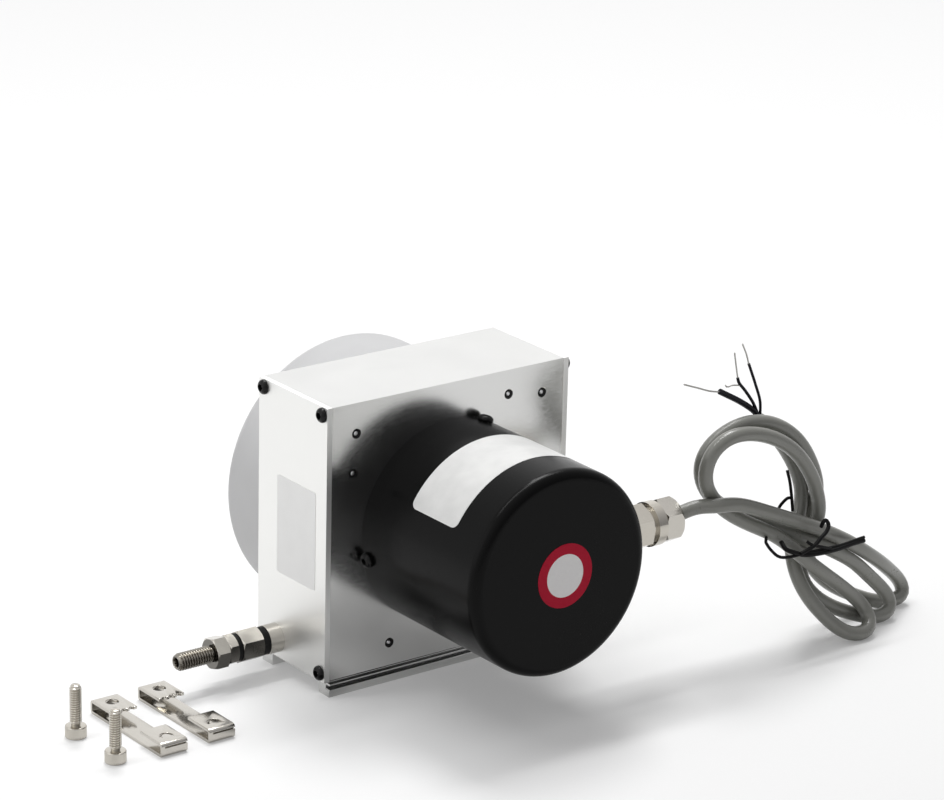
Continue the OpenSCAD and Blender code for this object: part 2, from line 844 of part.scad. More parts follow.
module cover_screws() {
  color("black") for (a = cover_screw_angles) {
    translate([0, rim_y, axis_z]) rotate([0, 90 - a, 0]) translate([0, 0, cover_r]) {
      button_screw(small_r - 0.01, 2.6, 2, cover_t + grip);
    }
  }
}

module cover_seal() {
  r = (seal_depth + slip) / 2;
  color("dimgray") translate([0, seal_y, axis_z]) rotate([-90, 0, 0]) rotate_extrude() {
    translate([cover_in - r, 0]) circle(r = r);
  }
}

// Nut inside the cover that holds the gland
module gland_nut() {
  color("silver") difference() {
    hex_x(gland_nut_af, gland_in, gland_nut_x, 0, gland_y, axis_z);
    rod_x(gland_r, gland_in - 1, cover_in + 1, gland_y, axis_z);
  }
}

module gland_body() {
  color("silver") difference() {
    union() {
      rod_x(gland_r, gland_in - 1, collar_x + 0.5, gland_y, axis_z);
      rod_x(gland_flange_r, gland_seat, cover_r + 1.2, gland_y, axis_z);
      hex_x(gland_af, cover_r + 1.2, collar_x - 1.8, 0, gland_y, axis_z);
      rod_x(gland_af / 2 + 0.6, collar_x, collar_x + collar_l, gland_y, axis_z);
    }
    rod_x(gland_bore, gland_in - 2, collar_x + collar_l + 1, gland_y, axis_z);
  }
}

module gland_insert() {
  color("dimgray") difference() {
    rod_x(gland_af / 2 - 1.2, collar_x + collar_l, gland_x1 - 1.2, gland_y, axis_z);
    rod_x(cable_r, collar_x, gland_x1, gland_y, axis_z);
  }
}

// Domed cap nut of the gland
module gland_cap() {
  r = gland_af / sqrt(3);
  x0 = collar_x + collar_l;
  color("silver") difference() {
    translate([x0, gland_y, axis_z]) rotate([0, 90, 0]) intersection() {
      cylinder(r = r, h = cap_l, $fn = 6);
      rotate_extrude() polygon([[0, 0], [gland_af / 2, 0], [r, 0.6], [r, cap_l - 2.5],
        [gland_af / 2 + 0.2, cap_l - 1.2], [gland_af / 2 - 1.2, cap_l - 0.2], [0, cap_l]]);
    }
    rod_x(gland_af / 2 - 1.2, x0 - 1, gland_x1 - 1.2, gland_y, axis_z);
    rod_x(gland_bore, x0, gland_x1 + 1, gland_y, axis_z);
  }
}

// Points on a smooth curve through the points of a route
function spline(p, i, t) = let (
    a = p[max(i - 1, 0)], b = p[i], c = p[i + 1], d = p[min(i + 2, len(p) - 1)]
  ) 0.5 * (2 * b + (c - a) * t + (2 * a - 5 * b + 4 * c - d) * t * t
    + (3 * b - a - 3 * c + d) * t * t * t);
function route(p, step) = concat(
  [for (i = [0:len(p) - 2]) for (t = [0:step:0.999]) spline(p, i, t)], [p[len(p) - 1]]);
function unit(v) = v / norm(v);
function heading(p, i) = unit(p[min(i + 1, len(p) - 1)] - p[max(i - 1, 0)]);

// A round tube swept along a list of points
module sweep(p, r, sides) {
  rings = [for (i = [0:len(p) - 1]) let (
      t = heading(p, i),
      u = unit(cross(t, [0, 1, 0.01])),
      v = cross(t, u)
    ) for (k = [0:sides - 1]) p[i] + r * (cos(360 * k / sides) * u + sin(360 * k / sides) * v)];
  n = len(p);
  faces = concat(
    [[for (k = [0:sides - 1]) k]],
    [for (i = [0:n - 2]) for (k = [0:sides - 1]) let (
        a = i * sides + k, b = i * sides + (k + 1) % sides
      ) [a, a + sides, b + sides, b]],
    [[for (k = [sides - 1:-1:0]) (n - 1) * sides + k]]);
  polyhedron(points = rings, faces = faces, convexity = 4);
}

module cable() {
  color("gray") sweep(route(cable_points, 1 / 3), cable_r, 10);
}

// Outer shape of the tied cable: a ring above, a waist and the loops that it stands on
module cable_hank() {
  color("gray") union() {
    difference() {
      union() {
        for (s = [-1, 1]) translate([loop_x + s * loop_half, hank_y, loop_z]) rotate([90, 0, 0]) {
          cylinder(r = loop_r, h = hank_w, center = true);
        }
        translate([loop_x, hank_y, loop_z]) cube([2 * loop_half, hank_w, 2 * loop_r], center = true);
      }
      for (s = [-1, 1]) translate([loop_x + s * loop_half, hank_y, loop_z]) rotate([90, 0, 0]) {
        cylinder(r = loop_hole, h = hank_w + 2, center = true);
      }
      translate([loop_x, hank_y, loop_z]) {
        cube([2 * loop_half, hank_w + 2, 2 * loop_hole], center = true);
      }
    }
    translate(waist) rotate([0, waist_tilt, 0]) cylinder(r = waist_r, h = waist_l, center = true);
    for (e = fan_ends) translate([e[0], fan_y, e[1]]) rotate([90, 0, 0]) {
      cylinder(r = fan_r, h = fan_w, center = true);
    }
    translate([fan_ends[0][0], fan_y, fan_ends[0][1]]) {
      rotate([0, atan2(-fan_run[1], fan_run[0]), 0]) translate([0, -fan_w / 2, -fan_r]) {
        cube([norm(fan_run), fan_w, 2 * fan_r]);
      }
    }
  }
}

module cable_tie() {
  color("black") translate(waist) rotate([0, waist_tilt, 0]) difference() {
    cylinder(r = waist_r + 1, h = tie_w, center = true);
    cylinder(r = waist_r, h = tie_w + 1, center = true);
  }
}

module cable_leads() {
  color("black") for (k = [0:len(lead_ends) - 1]) {
    start = lead_start + [3 * (k - 1), 0, 0];
    sweep(route([start, lead_bends[k], lead_ends[k]], 1 / 4), lead_radii[k], 8);
  }
}

// Sheet clamp: a strip with both ends folded up and back over it
module mounting_clamp() {
  half = clamp_l / 2;
  hole_y = half - clamp_hole_in;
  difference() {
    translate([-clamp_w / 2, -half, 0]) cube([clamp_w, clamp_l, clamp_h]);
    translate([-clamp_w, clamp_t - half, clamp_t]) {
      cube([2 * clamp_w, clamp_l - 2 * clamp_t, clamp_h - 2 * clamp_t]);
    }
    translate([-clamp_w, tab_l - half, clamp_t]) cube([2 * clamp_w, clamp_l - 2 * tab_l, clamp_h]);
    translate([0, hole_y, clamp_t]) cylinder(d = clamp_hole_d, h = clamp_h);
    for (x = [-clamp_w / 4, clamp_w / 4]) translate([x, half - tab_l, clamp_h / 2 + clamp_t]) {
      cylinder(r = 0.8, h = clamp_h);
    }
    translate([0, -hole_y, clamp_t]) intersection() {
      cylinder(r = tongue_w / 2 + 0.5, h = clamp_h);
      translate([-clamp_w, -1.2, 0]) cube(2 * clamp_w);
    }
  }
}

module mounting_clamps() {
  color("silver") for (p = clamp_places) translate([p[0], p[1], 0]) mounting_clamp();
}

// Socket head cap screw standing on its head
module clamp_screw() {
  difference() {
    union() {
      cylinder(r = screw_head_r, h = screw_head_h);
      cylinder(r = clamp_screw_d / 2, h = screw_head_h + clamp_screw_l);
    }
    translate([0, 0, -1]) cylinder(r = clamp_screw_d * 0.43, h = screw_head_h / 2 + 1, $fn = 6);
  }
}

module clamp_screws() {
  color("silver") for (p = screw_places) translate(p) clamp_screw();
}

housing();
wire_end_plate();
rear_end_plate();
end_plate_screws();
face_screws();
encoder_flange();
flange_screws();
spring_plate();
spring_plate_screws();
bearing_outer_rings();
bearing_shields();
bearing_inner_rings();
drum_shaft();
drum();
drum_set_screws();
wound_wire();
draw_wire();
spring_arbor();
arbor_pin();
mainspring();
spring_housing();
spring_housing_screws();
outlet_nozzle();
guide_eyelet();
nozzle_nut();
bumper_ring();
hex_sleeve();
wire_ferrule();
seal_washer();
jam_nut();
lock_nut();
threaded_stud();
encoder_standoffs();
encoder_base();
base_screws();
encoder_bearings();
encoder_shaft();
coupling_drum_hub();
coupling_disc();
coupling_encoder_hub();
disc_hub();
code_disc();
board_posts();
circuit_board();
light_source();
sensor_head();
encoder_cover();
cover_screws();
cover_seal();
gland_nut();
gland_body();
gland_insert();
gland_cap();
cable();
cable_hank();
cable_tie();
cable_leads();
mounting_clamps();
clamp_screws();
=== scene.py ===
# %% [markdown]
# # A draw wire encoder, finished over its CAD frame
#
# A draw wire encoder measures distance. A thin steel wire leaves through a nozzle, a sprung drum
# inside the box pays it out, and an encoder under the black cover counts the turns. The solids
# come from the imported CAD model. This script adds the finishes, the grey cable, the threads, the
# small screws, the sheet metal of the clamps and the labels. It could all be modelled here, but
# then its sizes would drift from the CAD, so the frame stays as it is and positions come from it.

import math

import bmesh
import bpy
import numpy as np
from mathutils import Matrix, Vector


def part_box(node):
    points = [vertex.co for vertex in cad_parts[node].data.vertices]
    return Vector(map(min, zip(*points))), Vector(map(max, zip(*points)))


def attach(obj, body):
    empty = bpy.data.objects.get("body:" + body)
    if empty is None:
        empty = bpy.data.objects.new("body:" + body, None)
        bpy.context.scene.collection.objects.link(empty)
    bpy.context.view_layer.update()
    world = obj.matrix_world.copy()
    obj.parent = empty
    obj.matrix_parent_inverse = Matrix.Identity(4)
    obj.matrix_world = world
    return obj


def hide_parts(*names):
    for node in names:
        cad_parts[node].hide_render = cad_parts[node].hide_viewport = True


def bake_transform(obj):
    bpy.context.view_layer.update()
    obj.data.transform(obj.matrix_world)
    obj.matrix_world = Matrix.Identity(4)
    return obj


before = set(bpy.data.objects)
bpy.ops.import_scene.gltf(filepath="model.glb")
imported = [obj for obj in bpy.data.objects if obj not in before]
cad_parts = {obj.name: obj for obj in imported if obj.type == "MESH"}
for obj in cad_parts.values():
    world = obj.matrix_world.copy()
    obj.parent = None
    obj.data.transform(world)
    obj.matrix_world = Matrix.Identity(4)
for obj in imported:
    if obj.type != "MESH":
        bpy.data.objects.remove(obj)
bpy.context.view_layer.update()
MM = 0.001

# %% [markdown]
# ## Camera
#
# The product stands a little below eye level and is seen from its wire end, over a long lens
# that keeps the box's edges nearly parallel. A camera can be aimed with a constraint, but its
# three axes written out as a matrix leave nothing to chance, so azimuth, elevation and a small
# roll are turned into axes.

# %% Camera
azimuth, elevation, roll = (math.radians(v) for v in (-37.29, 19.05, 1.42))
away = Vector((math.sin(azimuth) * math.cos(elevation),
               -math.cos(azimuth) * math.cos(elevation), math.sin(elevation)))
level = Vector((math.cos(azimuth), math.sin(azimuth), 0))
upright = away.cross(level)
across = math.cos(roll) * level + math.sin(roll) * upright
upward = math.cos(roll) * upright - math.sin(roll) * level
eye = Vector((-0.7204, -0.9771, 0.5084))

lens = bpy.data.cameras.new("studio_camera")
lens.sensor_width = 36
lens.lens = 147.93
lens.clip_start, lens.clip_end = 0.05, 40
camera = bpy.data.objects.new("studio_camera", lens)
bpy.context.scene.collection.objects.link(camera)
turn = Matrix((across, upward, away)).transposed().to_4x4()
camera.matrix_world = Matrix.Translation(eye) @ turn
bpy.context.scene.camera = camera
print("camera at", [round(v, 3) for v in eye])

# %% [markdown]
# ## Shader sums
#
# A finish is mostly arithmetic: a roughness plus a little grain, a colour pulled towards another
# by a mask. Each node could be placed and linked by name. A small class that wraps a socket lets
# the sums be written as sums, and one method makes every other kind of node.

# %% Sockets that can be added and multiplied
class Amount:
    """A socket that carries one number and can stand in a Python expression."""

    def __init__(self, tree, socket):
        self.tree, self.socket = tree, socket

    def math(self, operation, *terms):
        node = self.tree.nodes.new("ShaderNodeMath")
        node.operation = operation
        for entry, term in zip(node.inputs, terms):
            if isinstance(term, Amount):
                self.tree.links.new(term.socket, entry)
            else:
                entry.default_value = term
        return Amount(self.tree, node.outputs[0])

    def __add__(self, other):
        return self.math("ADD", self, other)

    def __sub__(self, other):
        return self.math("SUBTRACT", self, other)

    def __rsub__(self, other):
        return self.math("SUBTRACT", other, self)

    def __mul__(self, other):
        return self.math("MULTIPLY", self, other)

    def above(self, edge):
        """1 where this is more than edge, and 0 elsewhere."""
        return self.math("GREATER_THAN", self, edge)

    __radd__ = __add__
    __rmul__ = __mul__


class Recipe:
    """The node tree of a material or of the world, and the tools that fill it."""

    def __init__(self, owner, ending):
        owner.use_nodes = True
        self.tree = owner.node_tree
        self.tree.nodes.clear()
        self.ending = self.tree.nodes.new("ShaderNodeOutput" + ending)

    def node(self, kind, settings=None, sockets=None, output=None):
        """Any node: its type, its settings, and the values or links of its sockets."""
        made = self.tree.nodes.new("ShaderNode" + kind)
        for key, value in (settings or {}).items():
            if key == "stops":
                ramp = made.color_ramp
                while len(ramp.elements) < len(value):
                    ramp.elements.new(0.5)
                for stop, (place, shade) in zip(ramp.elements, value):
                    stop.position, stop.color = place, (*shade, 1)
            else:
                setattr(made, key, value)
        for key, value in (sockets or {}).items():
            entry = (made.inputs[key] if isinstance(key, int)
                     else next(s for s in made.inputs if s.name == key and s.enabled))
            if isinstance(value, Amount):
                self.tree.links.new(value.socket, entry)
            elif entry.type == "RGBA":
                entry.default_value = (*value, 1)
            else:
                entry.default_value = value
        shown = [s for s in made.outputs if s.enabled]
        return Amount(self.tree, next((s for s in shown if s.name == output), shown[0]))

    def mix(self, first, second, share):
        return self.node("Mix", {"data_type": "RGBA"}, {"A": first, "B": second, "Factor": share})

    def place(self):
        return self.node("TexCoord", output="Object")

    def noise(self, scale, stretch=(1, 1, 1), detail=3.0):
        spread = self.node("Mapping", None, {"Vector": self.place(), "Scale": stretch})
        return self.node("TexNoise", None, {"Vector": spread, "Scale": scale, "Detail": detail})

    def finish(self, shader):
        self.tree.links.new(shader.socket, self.ending.inputs["Surface"])


print("shader tools ready")

# %% [markdown]
# ## Studio
#
# The product stands on a seamless white sweep, under soft light from above and behind, with
# some from the left. White paper lit until it clips would also burn out the aluminium. So the
# lamps stay plain, and the rays that look at the background are lifted to white instead, while
# the floor keeps its soft shadow. The sky is a gradient, dimmer in front of the product: that
# side of a studio is dark, and it gives metal its darker half.

# %% World
def looking(recipe):
    """1 for a ray that looks at the scene from the camera, and 1 for a mirrored or bent one."""
    camera_ray, mirrored, bent = (recipe.node("LightPath", output=f"Is {kind} Ray")
                                  for kind in ("Camera", "Glossy", "Transmission"))
    return camera_ray, mirrored.math("MAXIMUM", mirrored, bent)


world = bpy.data.worlds.new("studio_world")
bpy.context.scene.world = world
sky = Recipe(world, "World")
facing = sky.node("VectorMath", {"operation": "DOT_PRODUCT"}, {
    0: sky.node("TexCoord", output="Generated"), 1: (0.45, -0.75, -0.45)}, "Value")
tent = sky.node("ValToRGB", {"stops": [
    (0.35, (1, 1, 1)), (0.62, (0.6, 0.6, 0.61)), (0.95, (0.3, 0.3, 0.31))]},
    {"Fac": facing * 0.5 + 0.5})
straight, mirrored = looking(sky)
sky.finish(sky.node("Background", None, {
    "Color": sky.mix(tent, (1, 1, 1), straight),
    "Strength": (straight + mirrored) * 0.55 + 0.45}))
print("world:", len(sky.tree.nodes), "nodes")

# %% [markdown]
# The floor is a wide disc of matte paper, and shadows fall on it as on any paper. Looked at
# straight, it is lifted towards white, a little more at the back. In a mirror it is brighter
# behind the product than in front, and a small patch by the wire end stays dark. That patch is
# what the front plate mirrors there, in place of the unlit side of a studio.

# %% Floor
FLOOR_R, PATCH_AT = 8, (-0.042, -0.036, 0.0)
bm = bmesh.new()
bmesh.ops.create_circle(bm, cap_ends=True, segments=96, radius=FLOOR_R)
floor_mesh = bpy.data.meshes.new("studio_floor")
bm.to_mesh(floor_mesh)
bm.free()
floor = bpy.data.objects.new("studio_floor", floor_mesh)
bpy.context.scene.collection.objects.link(floor)
paper = bpy.data.materials.new("paper_floor")
sheet = Recipe(paper, "Material")
fibre = sheet.noise(900, detail=2)
depth = sheet.node("SeparateXYZ", None, {"Vector": sheet.place()}, "Y")
behind = sheet.node("MapRange", {"interpolation_type": "SMOOTHSTEP"}, {
    "Value": depth, "From Min": -0.03, "From Max": 0.12})
farther = sheet.node("MapRange", None, {"Value": depth, "From Min": -0.25, "From Max": 0.0})
straight, mirrored = looking(sheet)
narrowed = sheet.node("Mapping", None, {"Vector": sheet.place(), "Scale": (0.7, 1, 1)})
from_patch = sheet.node("VectorMath", {"operation": "DISTANCE"}, {
    0: narrowed, 1: PATCH_AT}, "Value")
patch = sheet.node("MapRange", {"interpolation_type": "SMOOTHSTEP"}, {
    "Value": from_patch, "From Min": 0.024, "From Max": 0.01})
matte = sheet.node("BsdfDiffuse", None, {"Color": sheet.mix(
    sheet.mix((0.78, 0.78, 0.78), (0.8, 0.8, 0.8), fibre), (0.06, 0.06, 0.06),
    mirrored * patch)})
glow = sheet.node("Emission", None, {"Strength": 1, "Color":
    straight * (farther * 0.13 + 0.08) + mirrored * (behind * 0.22 + 0.14 - patch * 0.14)})
sheet.finish(sheet.node("AddShader", None, {0: matte, 1: glow}))
floor.data.materials.append(paper)
print("floor:", len(sheet.tree.nodes), "nodes")

# %% [markdown]
# A broad sun from behind throws the soft shadow towards the camera. A narrow strip overhead
# draws the sheen along the black cover, one softbox fills the left and a weak one the back.

# %% Lamps
def lamp(name, kind, place, aim, strength, size, depth=0):
    """A lamp at place that shines at aim. size is degrees for a sun, and metres for a panel."""
    data = bpy.data.lights.new(name, kind)
    data.energy = strength
    if kind == "SUN":
        data.angle = math.radians(size)
    else:
        data.shape, data.size, data.size_y = "RECTANGLE", size, depth
    made = bpy.data.objects.new(name, data)
    bpy.context.scene.collection.objects.link(made)
    made.location = place
    made.rotation_mode = "QUATERNION"
    made.rotation_quaternion = (Vector(aim) - Vector(place)).to_track_quat("-Z", "Y")


lamp("key_light", "SUN", (0.4, 0.6, 1.25), (0, 0, 0), 1.1, 18)
lamp("strip_light", "AREA", (0, 0.25, 1.35), (0, 0, 0), 8, 1.7, 0.12)
lamp("left_softbox", "AREA", (-1.5, 0.3, 0.75), (0, 0, 0.05), 2.4, 1.2, 1.2)
lamp("back_softbox", "AREA", (1.0, 1.5, 0.8), (0, 0, 0.1), 0.8, 1.2, 1.2)
bpy.context.scene.view_settings.view_transform = "Standard"

# %% [markdown]
# ## Lines and round bars
#
# The cable, its stripped leads and the tie are all round bars on a curved line. A curve object
# with a bevel would do, but its texture space slides along it. A mesh swept ring by ring, each
# ring turned as little as possible from the last, keeps an even surface in tight bends.

# %% Lines through points, and a bar along a line
def smooth_line(points, step):
    """Evenly spaced points on a curve through the given ones, in metres."""
    p = np.array(points, float) * MM
    p = np.vstack([2 * p[0] - p[1], p, 2 * p[-1] - p[-2]])
    fine = []
    for a, b, c, d in zip(p, p[1:], p[2:], p[3:]):
        for t in np.arange(10) / 10:
            fine.append(0.5 * (2 * b + (c - a) * t + (2 * a - 5 * b + 4 * c - d) * t ** 2
                               + (3 * b - a - 3 * c + d) * t ** 3))
    fine = np.array(fine + [p[-2]])
    run = np.r_[0, np.cumsum(np.linalg.norm(np.diff(fine, axis=0), axis=1))]
    even = np.linspace(0, run[-1], max(2, round(run[-1] / (step * MM)) + 1))
    return np.stack([np.interp(even, run, fine[:, k]) for k in range(3)], 1)


def skin(bm, rings):
    """Joins rings of vertices into a closed surface."""
    for low, high in zip(rings, rings[1:]):
        for k in range(len(low)):
            j = (k + 1) % len(low)
            bm.faces.new((low[k], low[j], high[j], high[k]))
    bm.faces.new(list(reversed(rings[0])))
    bm.faces.new(rings[-1])


def sweep(bm, line, radius, sides):
    """Adds a closed round bar on the line to bm. The radius is in millimetres."""
    line = [Vector(p) for p in line]
    normal, rings = Vector((0.3, 0.2, 1)), []
    for i, point in enumerate(line):
        ahead = (line[min(i + 1, len(line) - 1)] - line[max(i - 1, 0)]).normalized()
        normal = (normal - ahead * normal.dot(ahead)).normalized()
        other = ahead.cross(normal)
        rings.append([
            bm.verts.new(point + (normal * math.cos(t) + other * math.sin(t)) * radius * MM)
            for t in (2 * math.pi * k / sides for k in range(sides))])
    skin(bm, rings)


def make_piece(name, bm, material, body, stands_for=(), crease=35):
    """Turns bm into a shaded piece that rides on a body and stands for CAD nodes."""
    bmesh.ops.recalc_face_normals(bm, faces=bm.faces)
    mesh = bpy.data.meshes.new(name)
    bm.to_mesh(mesh)
    bm.free()
    mesh.polygons.foreach_set("use_smooth", [True] * len(mesh.polygons))
    mesh.set_sharp_from_angle(angle=math.radians(crease))
    made = bpy.data.objects.new(name, mesh)
    bpy.context.scene.collection.objects.link(made)
    mesh.materials.append(material)
    if body:
        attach(made, body)
    if stands_for:
        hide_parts(*stands_for)
    print(name, len(mesh.polygons), "faces")
    return made


BASE, HOOK = "housing_assembly", "wire_end"
print("pieces ride on", BASE, "or", HOOK)

# %% [markdown]
# ## Soft finishes
#
# The cable jacket is grey PVC with a faint orange-peel skin, the leads and the coated tie wire
# are black plastic, and the bumper is rubber. They differ in colour, gloss and the size of their
# grain, so one function makes them all.

# %% Jackets, rubber and plastics
def soft_finish(name, colour, shift, rough, grain, depth, gleam=0.5, coat=0.0):
    """A matte or silky skin: two sizes of grain vary its colour, gloss and height."""
    material = bpy.data.materials.new(name)
    r = Recipe(material, "Material")
    fine, broad = r.noise(grain), r.noise(grain / 14, detail=2)
    paler = tuple(min(1, c * (1 + shift) + 0.002) for c in colour)
    shade = r.mix(colour, paler, broad * 0.7 + fine * 0.3)
    relief = r.node("Bump", None, {"Height": fine, "Strength": 0.5, "Distance": depth * MM})
    r.finish(r.node("BsdfPrincipled", None, {
        "Base Color": shade, "Roughness": rough + (fine - 0.5) * 0.12 + (broad - 0.5) * 0.1,
        "Specular IOR Level": gleam, "Normal": relief,
        "Coat Weight": coat, "Coat Roughness": 0.25}))
    return material


cable_grey = soft_finish("cable_jacket", (0.205, 0.205, 0.185), 0.14, 0.3, 1500, 0.015, 0.65)
tie_black = soft_finish("tie_coating", (0.003, 0.003, 0.003), 0.6, 0.42, 1600, 0.03, 0.12)
lead_black = soft_finish("lead_insulation", (0.003, 0.003, 0.006), 0.6, 0.42, 1400, 0.03, 0.15)
black_rubber = soft_finish("black_rubber", (0.004, 0.004, 0.004), 0.7, 0.6, 1100, 0.08, 0.2)
chip_black = soft_finish("moulded_case", (0.02, 0.02, 0.021), 0.4, 0.5, 2400, 0.03)
coupling_plastic = soft_finish("coupling_acetal", (0.78, 0.74, 0.62), 0.08, 0.45, 800, 0.03)
board_green = soft_finish("solder_mask", (0.02, 0.13, 0.05), 0.5, 0.32, 700, 0.02)
white_ceramic = soft_finish("eyelet_ceramic", (0.82, 0.8, 0.74), 0.05, 0.2, 600, 0.01, 0.5, 0.6)
print("soft finishes from", cable_grey.name, "to", white_ceramic.name)

# %% [markdown]
# ## The signal cable
#
# About 0.7 m of 5 mm cable leaves the gland and lies in a bundle: three loops fan out on the
# bench, two stand up as a ring, and a wire tie holds them where they cross. Only listed
# points lay out the turns. Real strands push each other aside, so the line is settled: strands
# that come nearer than one diameter move apart, sharp bends relax, and nothing sinks into the
# bench.

# %% Cable route
gland_low, gland_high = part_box("gland_cap")
exit_point = (gland_high.x, (gland_low.y + gland_high.y) / 2, (gland_low.z + gland_high.z) / 2)
gland_end = [v / MM for v in exit_point]
CABLE_D = 5.0
route = [
    (gland_end[0] - 4, gland_end[1], gland_end[2]),
    (gland_end[0] + 1, gland_end[1] - 0.2, gland_end[2] + 0.6), (70.2, -61.8, 56),
    (74.7, -63.6, 56.6), (80.2, -65.8, 56.4), (86.2, -67.5, 55), (94, -69, 52),
    (102.3, -70, 48.4), (111.2, -70.5, 44.4),
    # first floor loop, the farthest out
    (120.3, -70.8, 40), (129.5, -70.8, 34.7), (137.5, -70.8, 30), (149.5, -68, 22),
    (161, -63.5, 13.5), (168, -61, 7), (168, -63.5, 3.5), (163, -63.5, 2.6), (156.5, -62, 3),
    (149, -61.5, 6), (141, -60.5, 10), (133.5, -60, 15), (128.5, -58.5, 20.5), (126, -57, 27),
    (125.5, -57, 34),
    # upright loop at the back
    (127, -57.5, 41), (127.9, -59, 48.5), (126.8, -59, 54), (124, -59, 60.5), (119.6, -59, 67.4),
    (113.3, -59, 73.3), (105.5, -59, 77.7), (98, -59, 79.7), (90.5, -59, 79.7), (83.3, -59, 77.5),
    (77.8, -58.8, 73.8), (76, -58, 69), (77, -57.5, 63.5), (80.5, -57.5, 57), (86.5, -58.5, 51.5),
    (95, -61, 47), (105, -64.5, 42),
    # second floor loop
    (114.5, -68.5, 37.5), (123.5, -70.5, 33), (134.5, -70.5, 26.2), (147, -69, 15.5),
    (155, -69.5, 7), (154, -71, 3.5), (148, -72, 2.6), (141, -70.5, 4.2), (133.5, -70, 7.2),
    (125.5, -69.5, 11.5), (119.5, -68, 16.5), (116.5, -66, 22), (116.5, -64.5, 28),
    (119, -64, 33.5),
    # upright loop at the front
    (122.5, -64.5, 38.5), (123.9, -65, 43.5), (122.9, -65, 49), (120.9, -65, 55),
    (117.4, -65, 61.2), (111.7, -65, 68), (103.8, -65, 73.8), (95.8, -65, 77.3), (88.3, -65, 79),
    (81, -64.8, 78.6), (76, -64.3, 75.4), (73.8, -63.6, 70.5), (74.2, -62.8, 64.5),
    (77.5, -62.5, 58), (83.5, -63.5, 52), (92, -66, 46.4), (101, -69.5, 41.5),
    # third floor loop, the nearest
    (109, -73, 34), (118, -74, 26.5), (128.5, -73, 18.5), (137.5, -73, 10.5), (140, -75.5, 6),
    (137, -79, 3), (131.5, -80, 2.6), (126, -78, 4.2), (119.5, -75, 10.5), (114.5, -72.5, 17),
    (112, -69.5, 23.5), (112, -66, 30), (115, -62, 36),
    # up inside the ring and behind it to the stripped end
    (121, -58, 42), (123.6, -56.3, 48), (122.6, -54.8, 54.5), (119.8, -54, 60.5),
    (115.8, -53.6, 66.5), (111.3, -53.4, 71.5), (107.5, -53.2, 75), (105, -53.2, 77.4)]


SETTLE_ROUNDS, SAME_STRAND = 260, 8     # steps nearer along the line never push each other


def settle(line, gap, floor):
    """Moves strands apart to the gap, eases sharp bends, and lifts the line off the floor."""
    line, home = line.copy(), line.copy()
    index = np.arange(len(line))
    apart = np.triu(np.abs(index[:, None] - index[None]) > SAME_STRAND, 1)
    for _ in range(SETTLE_ROUNDS):
        between = line[:, None] - line[None]
        distance = np.linalg.norm(between, axis=2) + 1e-9
        a, b = np.nonzero(apart & (distance < gap))
        push = between[a, b] / distance[a, b, None] * (gap - distance[a, b])[:, None] * 0.25
        np.add.at(line, a, push)
        np.add.at(line, b, -push)
        bend = np.zeros_like(line)
        bend[1:-1] = (line[2:] + line[:-2]) / 2 - line[1:-1]
        ease = np.zeros_like(line)
        ease[2:-2] = bend[1:-3] + bend[3:-1] - 2 * bend[2:-2]
        line += 0.01 * (home - line) - 0.14 * ease
        line[:, 2] = np.maximum(line[:, 2], floor)
        line[:3], line[-1] = home[:3], home[-1]
    return line


cable_line = settle(smooth_line(route, 2), (CABLE_D + 0.05) * MM, CABLE_D / 2 * MM)

# %% [markdown]
# The jacket is cut square at the stripped end. Three insulated conductors come out of it, one
# thicker, and each ends in bare tinned strands. A fourth strand, the screen, is a short hook.

# %% Cable jacket and stripped leads
bm = bmesh.new()
sweep(bm, cable_line, CABLE_D / 2, 32)
cable = make_piece("signal_cable", bm, cable_grey, BASE, ["cable", "cable_hank"])

lead_root = (104.9, -53.2, 78.4)
leads = [
    ("lead_thick", 1.05, [lead_root, (101.5, -53.4, 81.8), (95, -53.8, 86.2), (86, -54.3, 91.3)]),
    ("lead_thin_a", 0.55, [lead_root, (101.3, -54, 84.3), (97.3, -54.3, 89.4), (94.2, -54.5, 92.8),
                           (93.4, -54.5, 94.8)]),
    ("lead_thin_b", 0.5, [(105.4, -53.2, 78.4), (104.3, -54, 84.5), (101.7, -54.3, 90.8),
                          (98, -54.5, 99)])]
bare_ends = [
    ("strand_thick", 0.3, [(86.4, -54.3, 91.1), (81.4, -54.5, 92.4), (76, -54.5, 94.5),
                           (70, -54.5, 96.8)]),
    ("strand_thin_a", 0.28, [(93.5, -54.5, 94.4), (92.5, -54.5, 99), (91.5, -54.5, 104)]),
    ("strand_thin_b", 0.3, [(98.1, -54.5, 98.6), (96.8, -54.5, 102.4), (94.8, -54.5, 106.5)]),
    ("screen_hook", 0.26, [(94.4, -54.5, 92), (91.2, -54.5, 92.6), (89, -54.5, 92.4),
                           (88.1, -54.5, 93.2)])]
print("leads", len(leads), "bare ends", len(bare_ends))
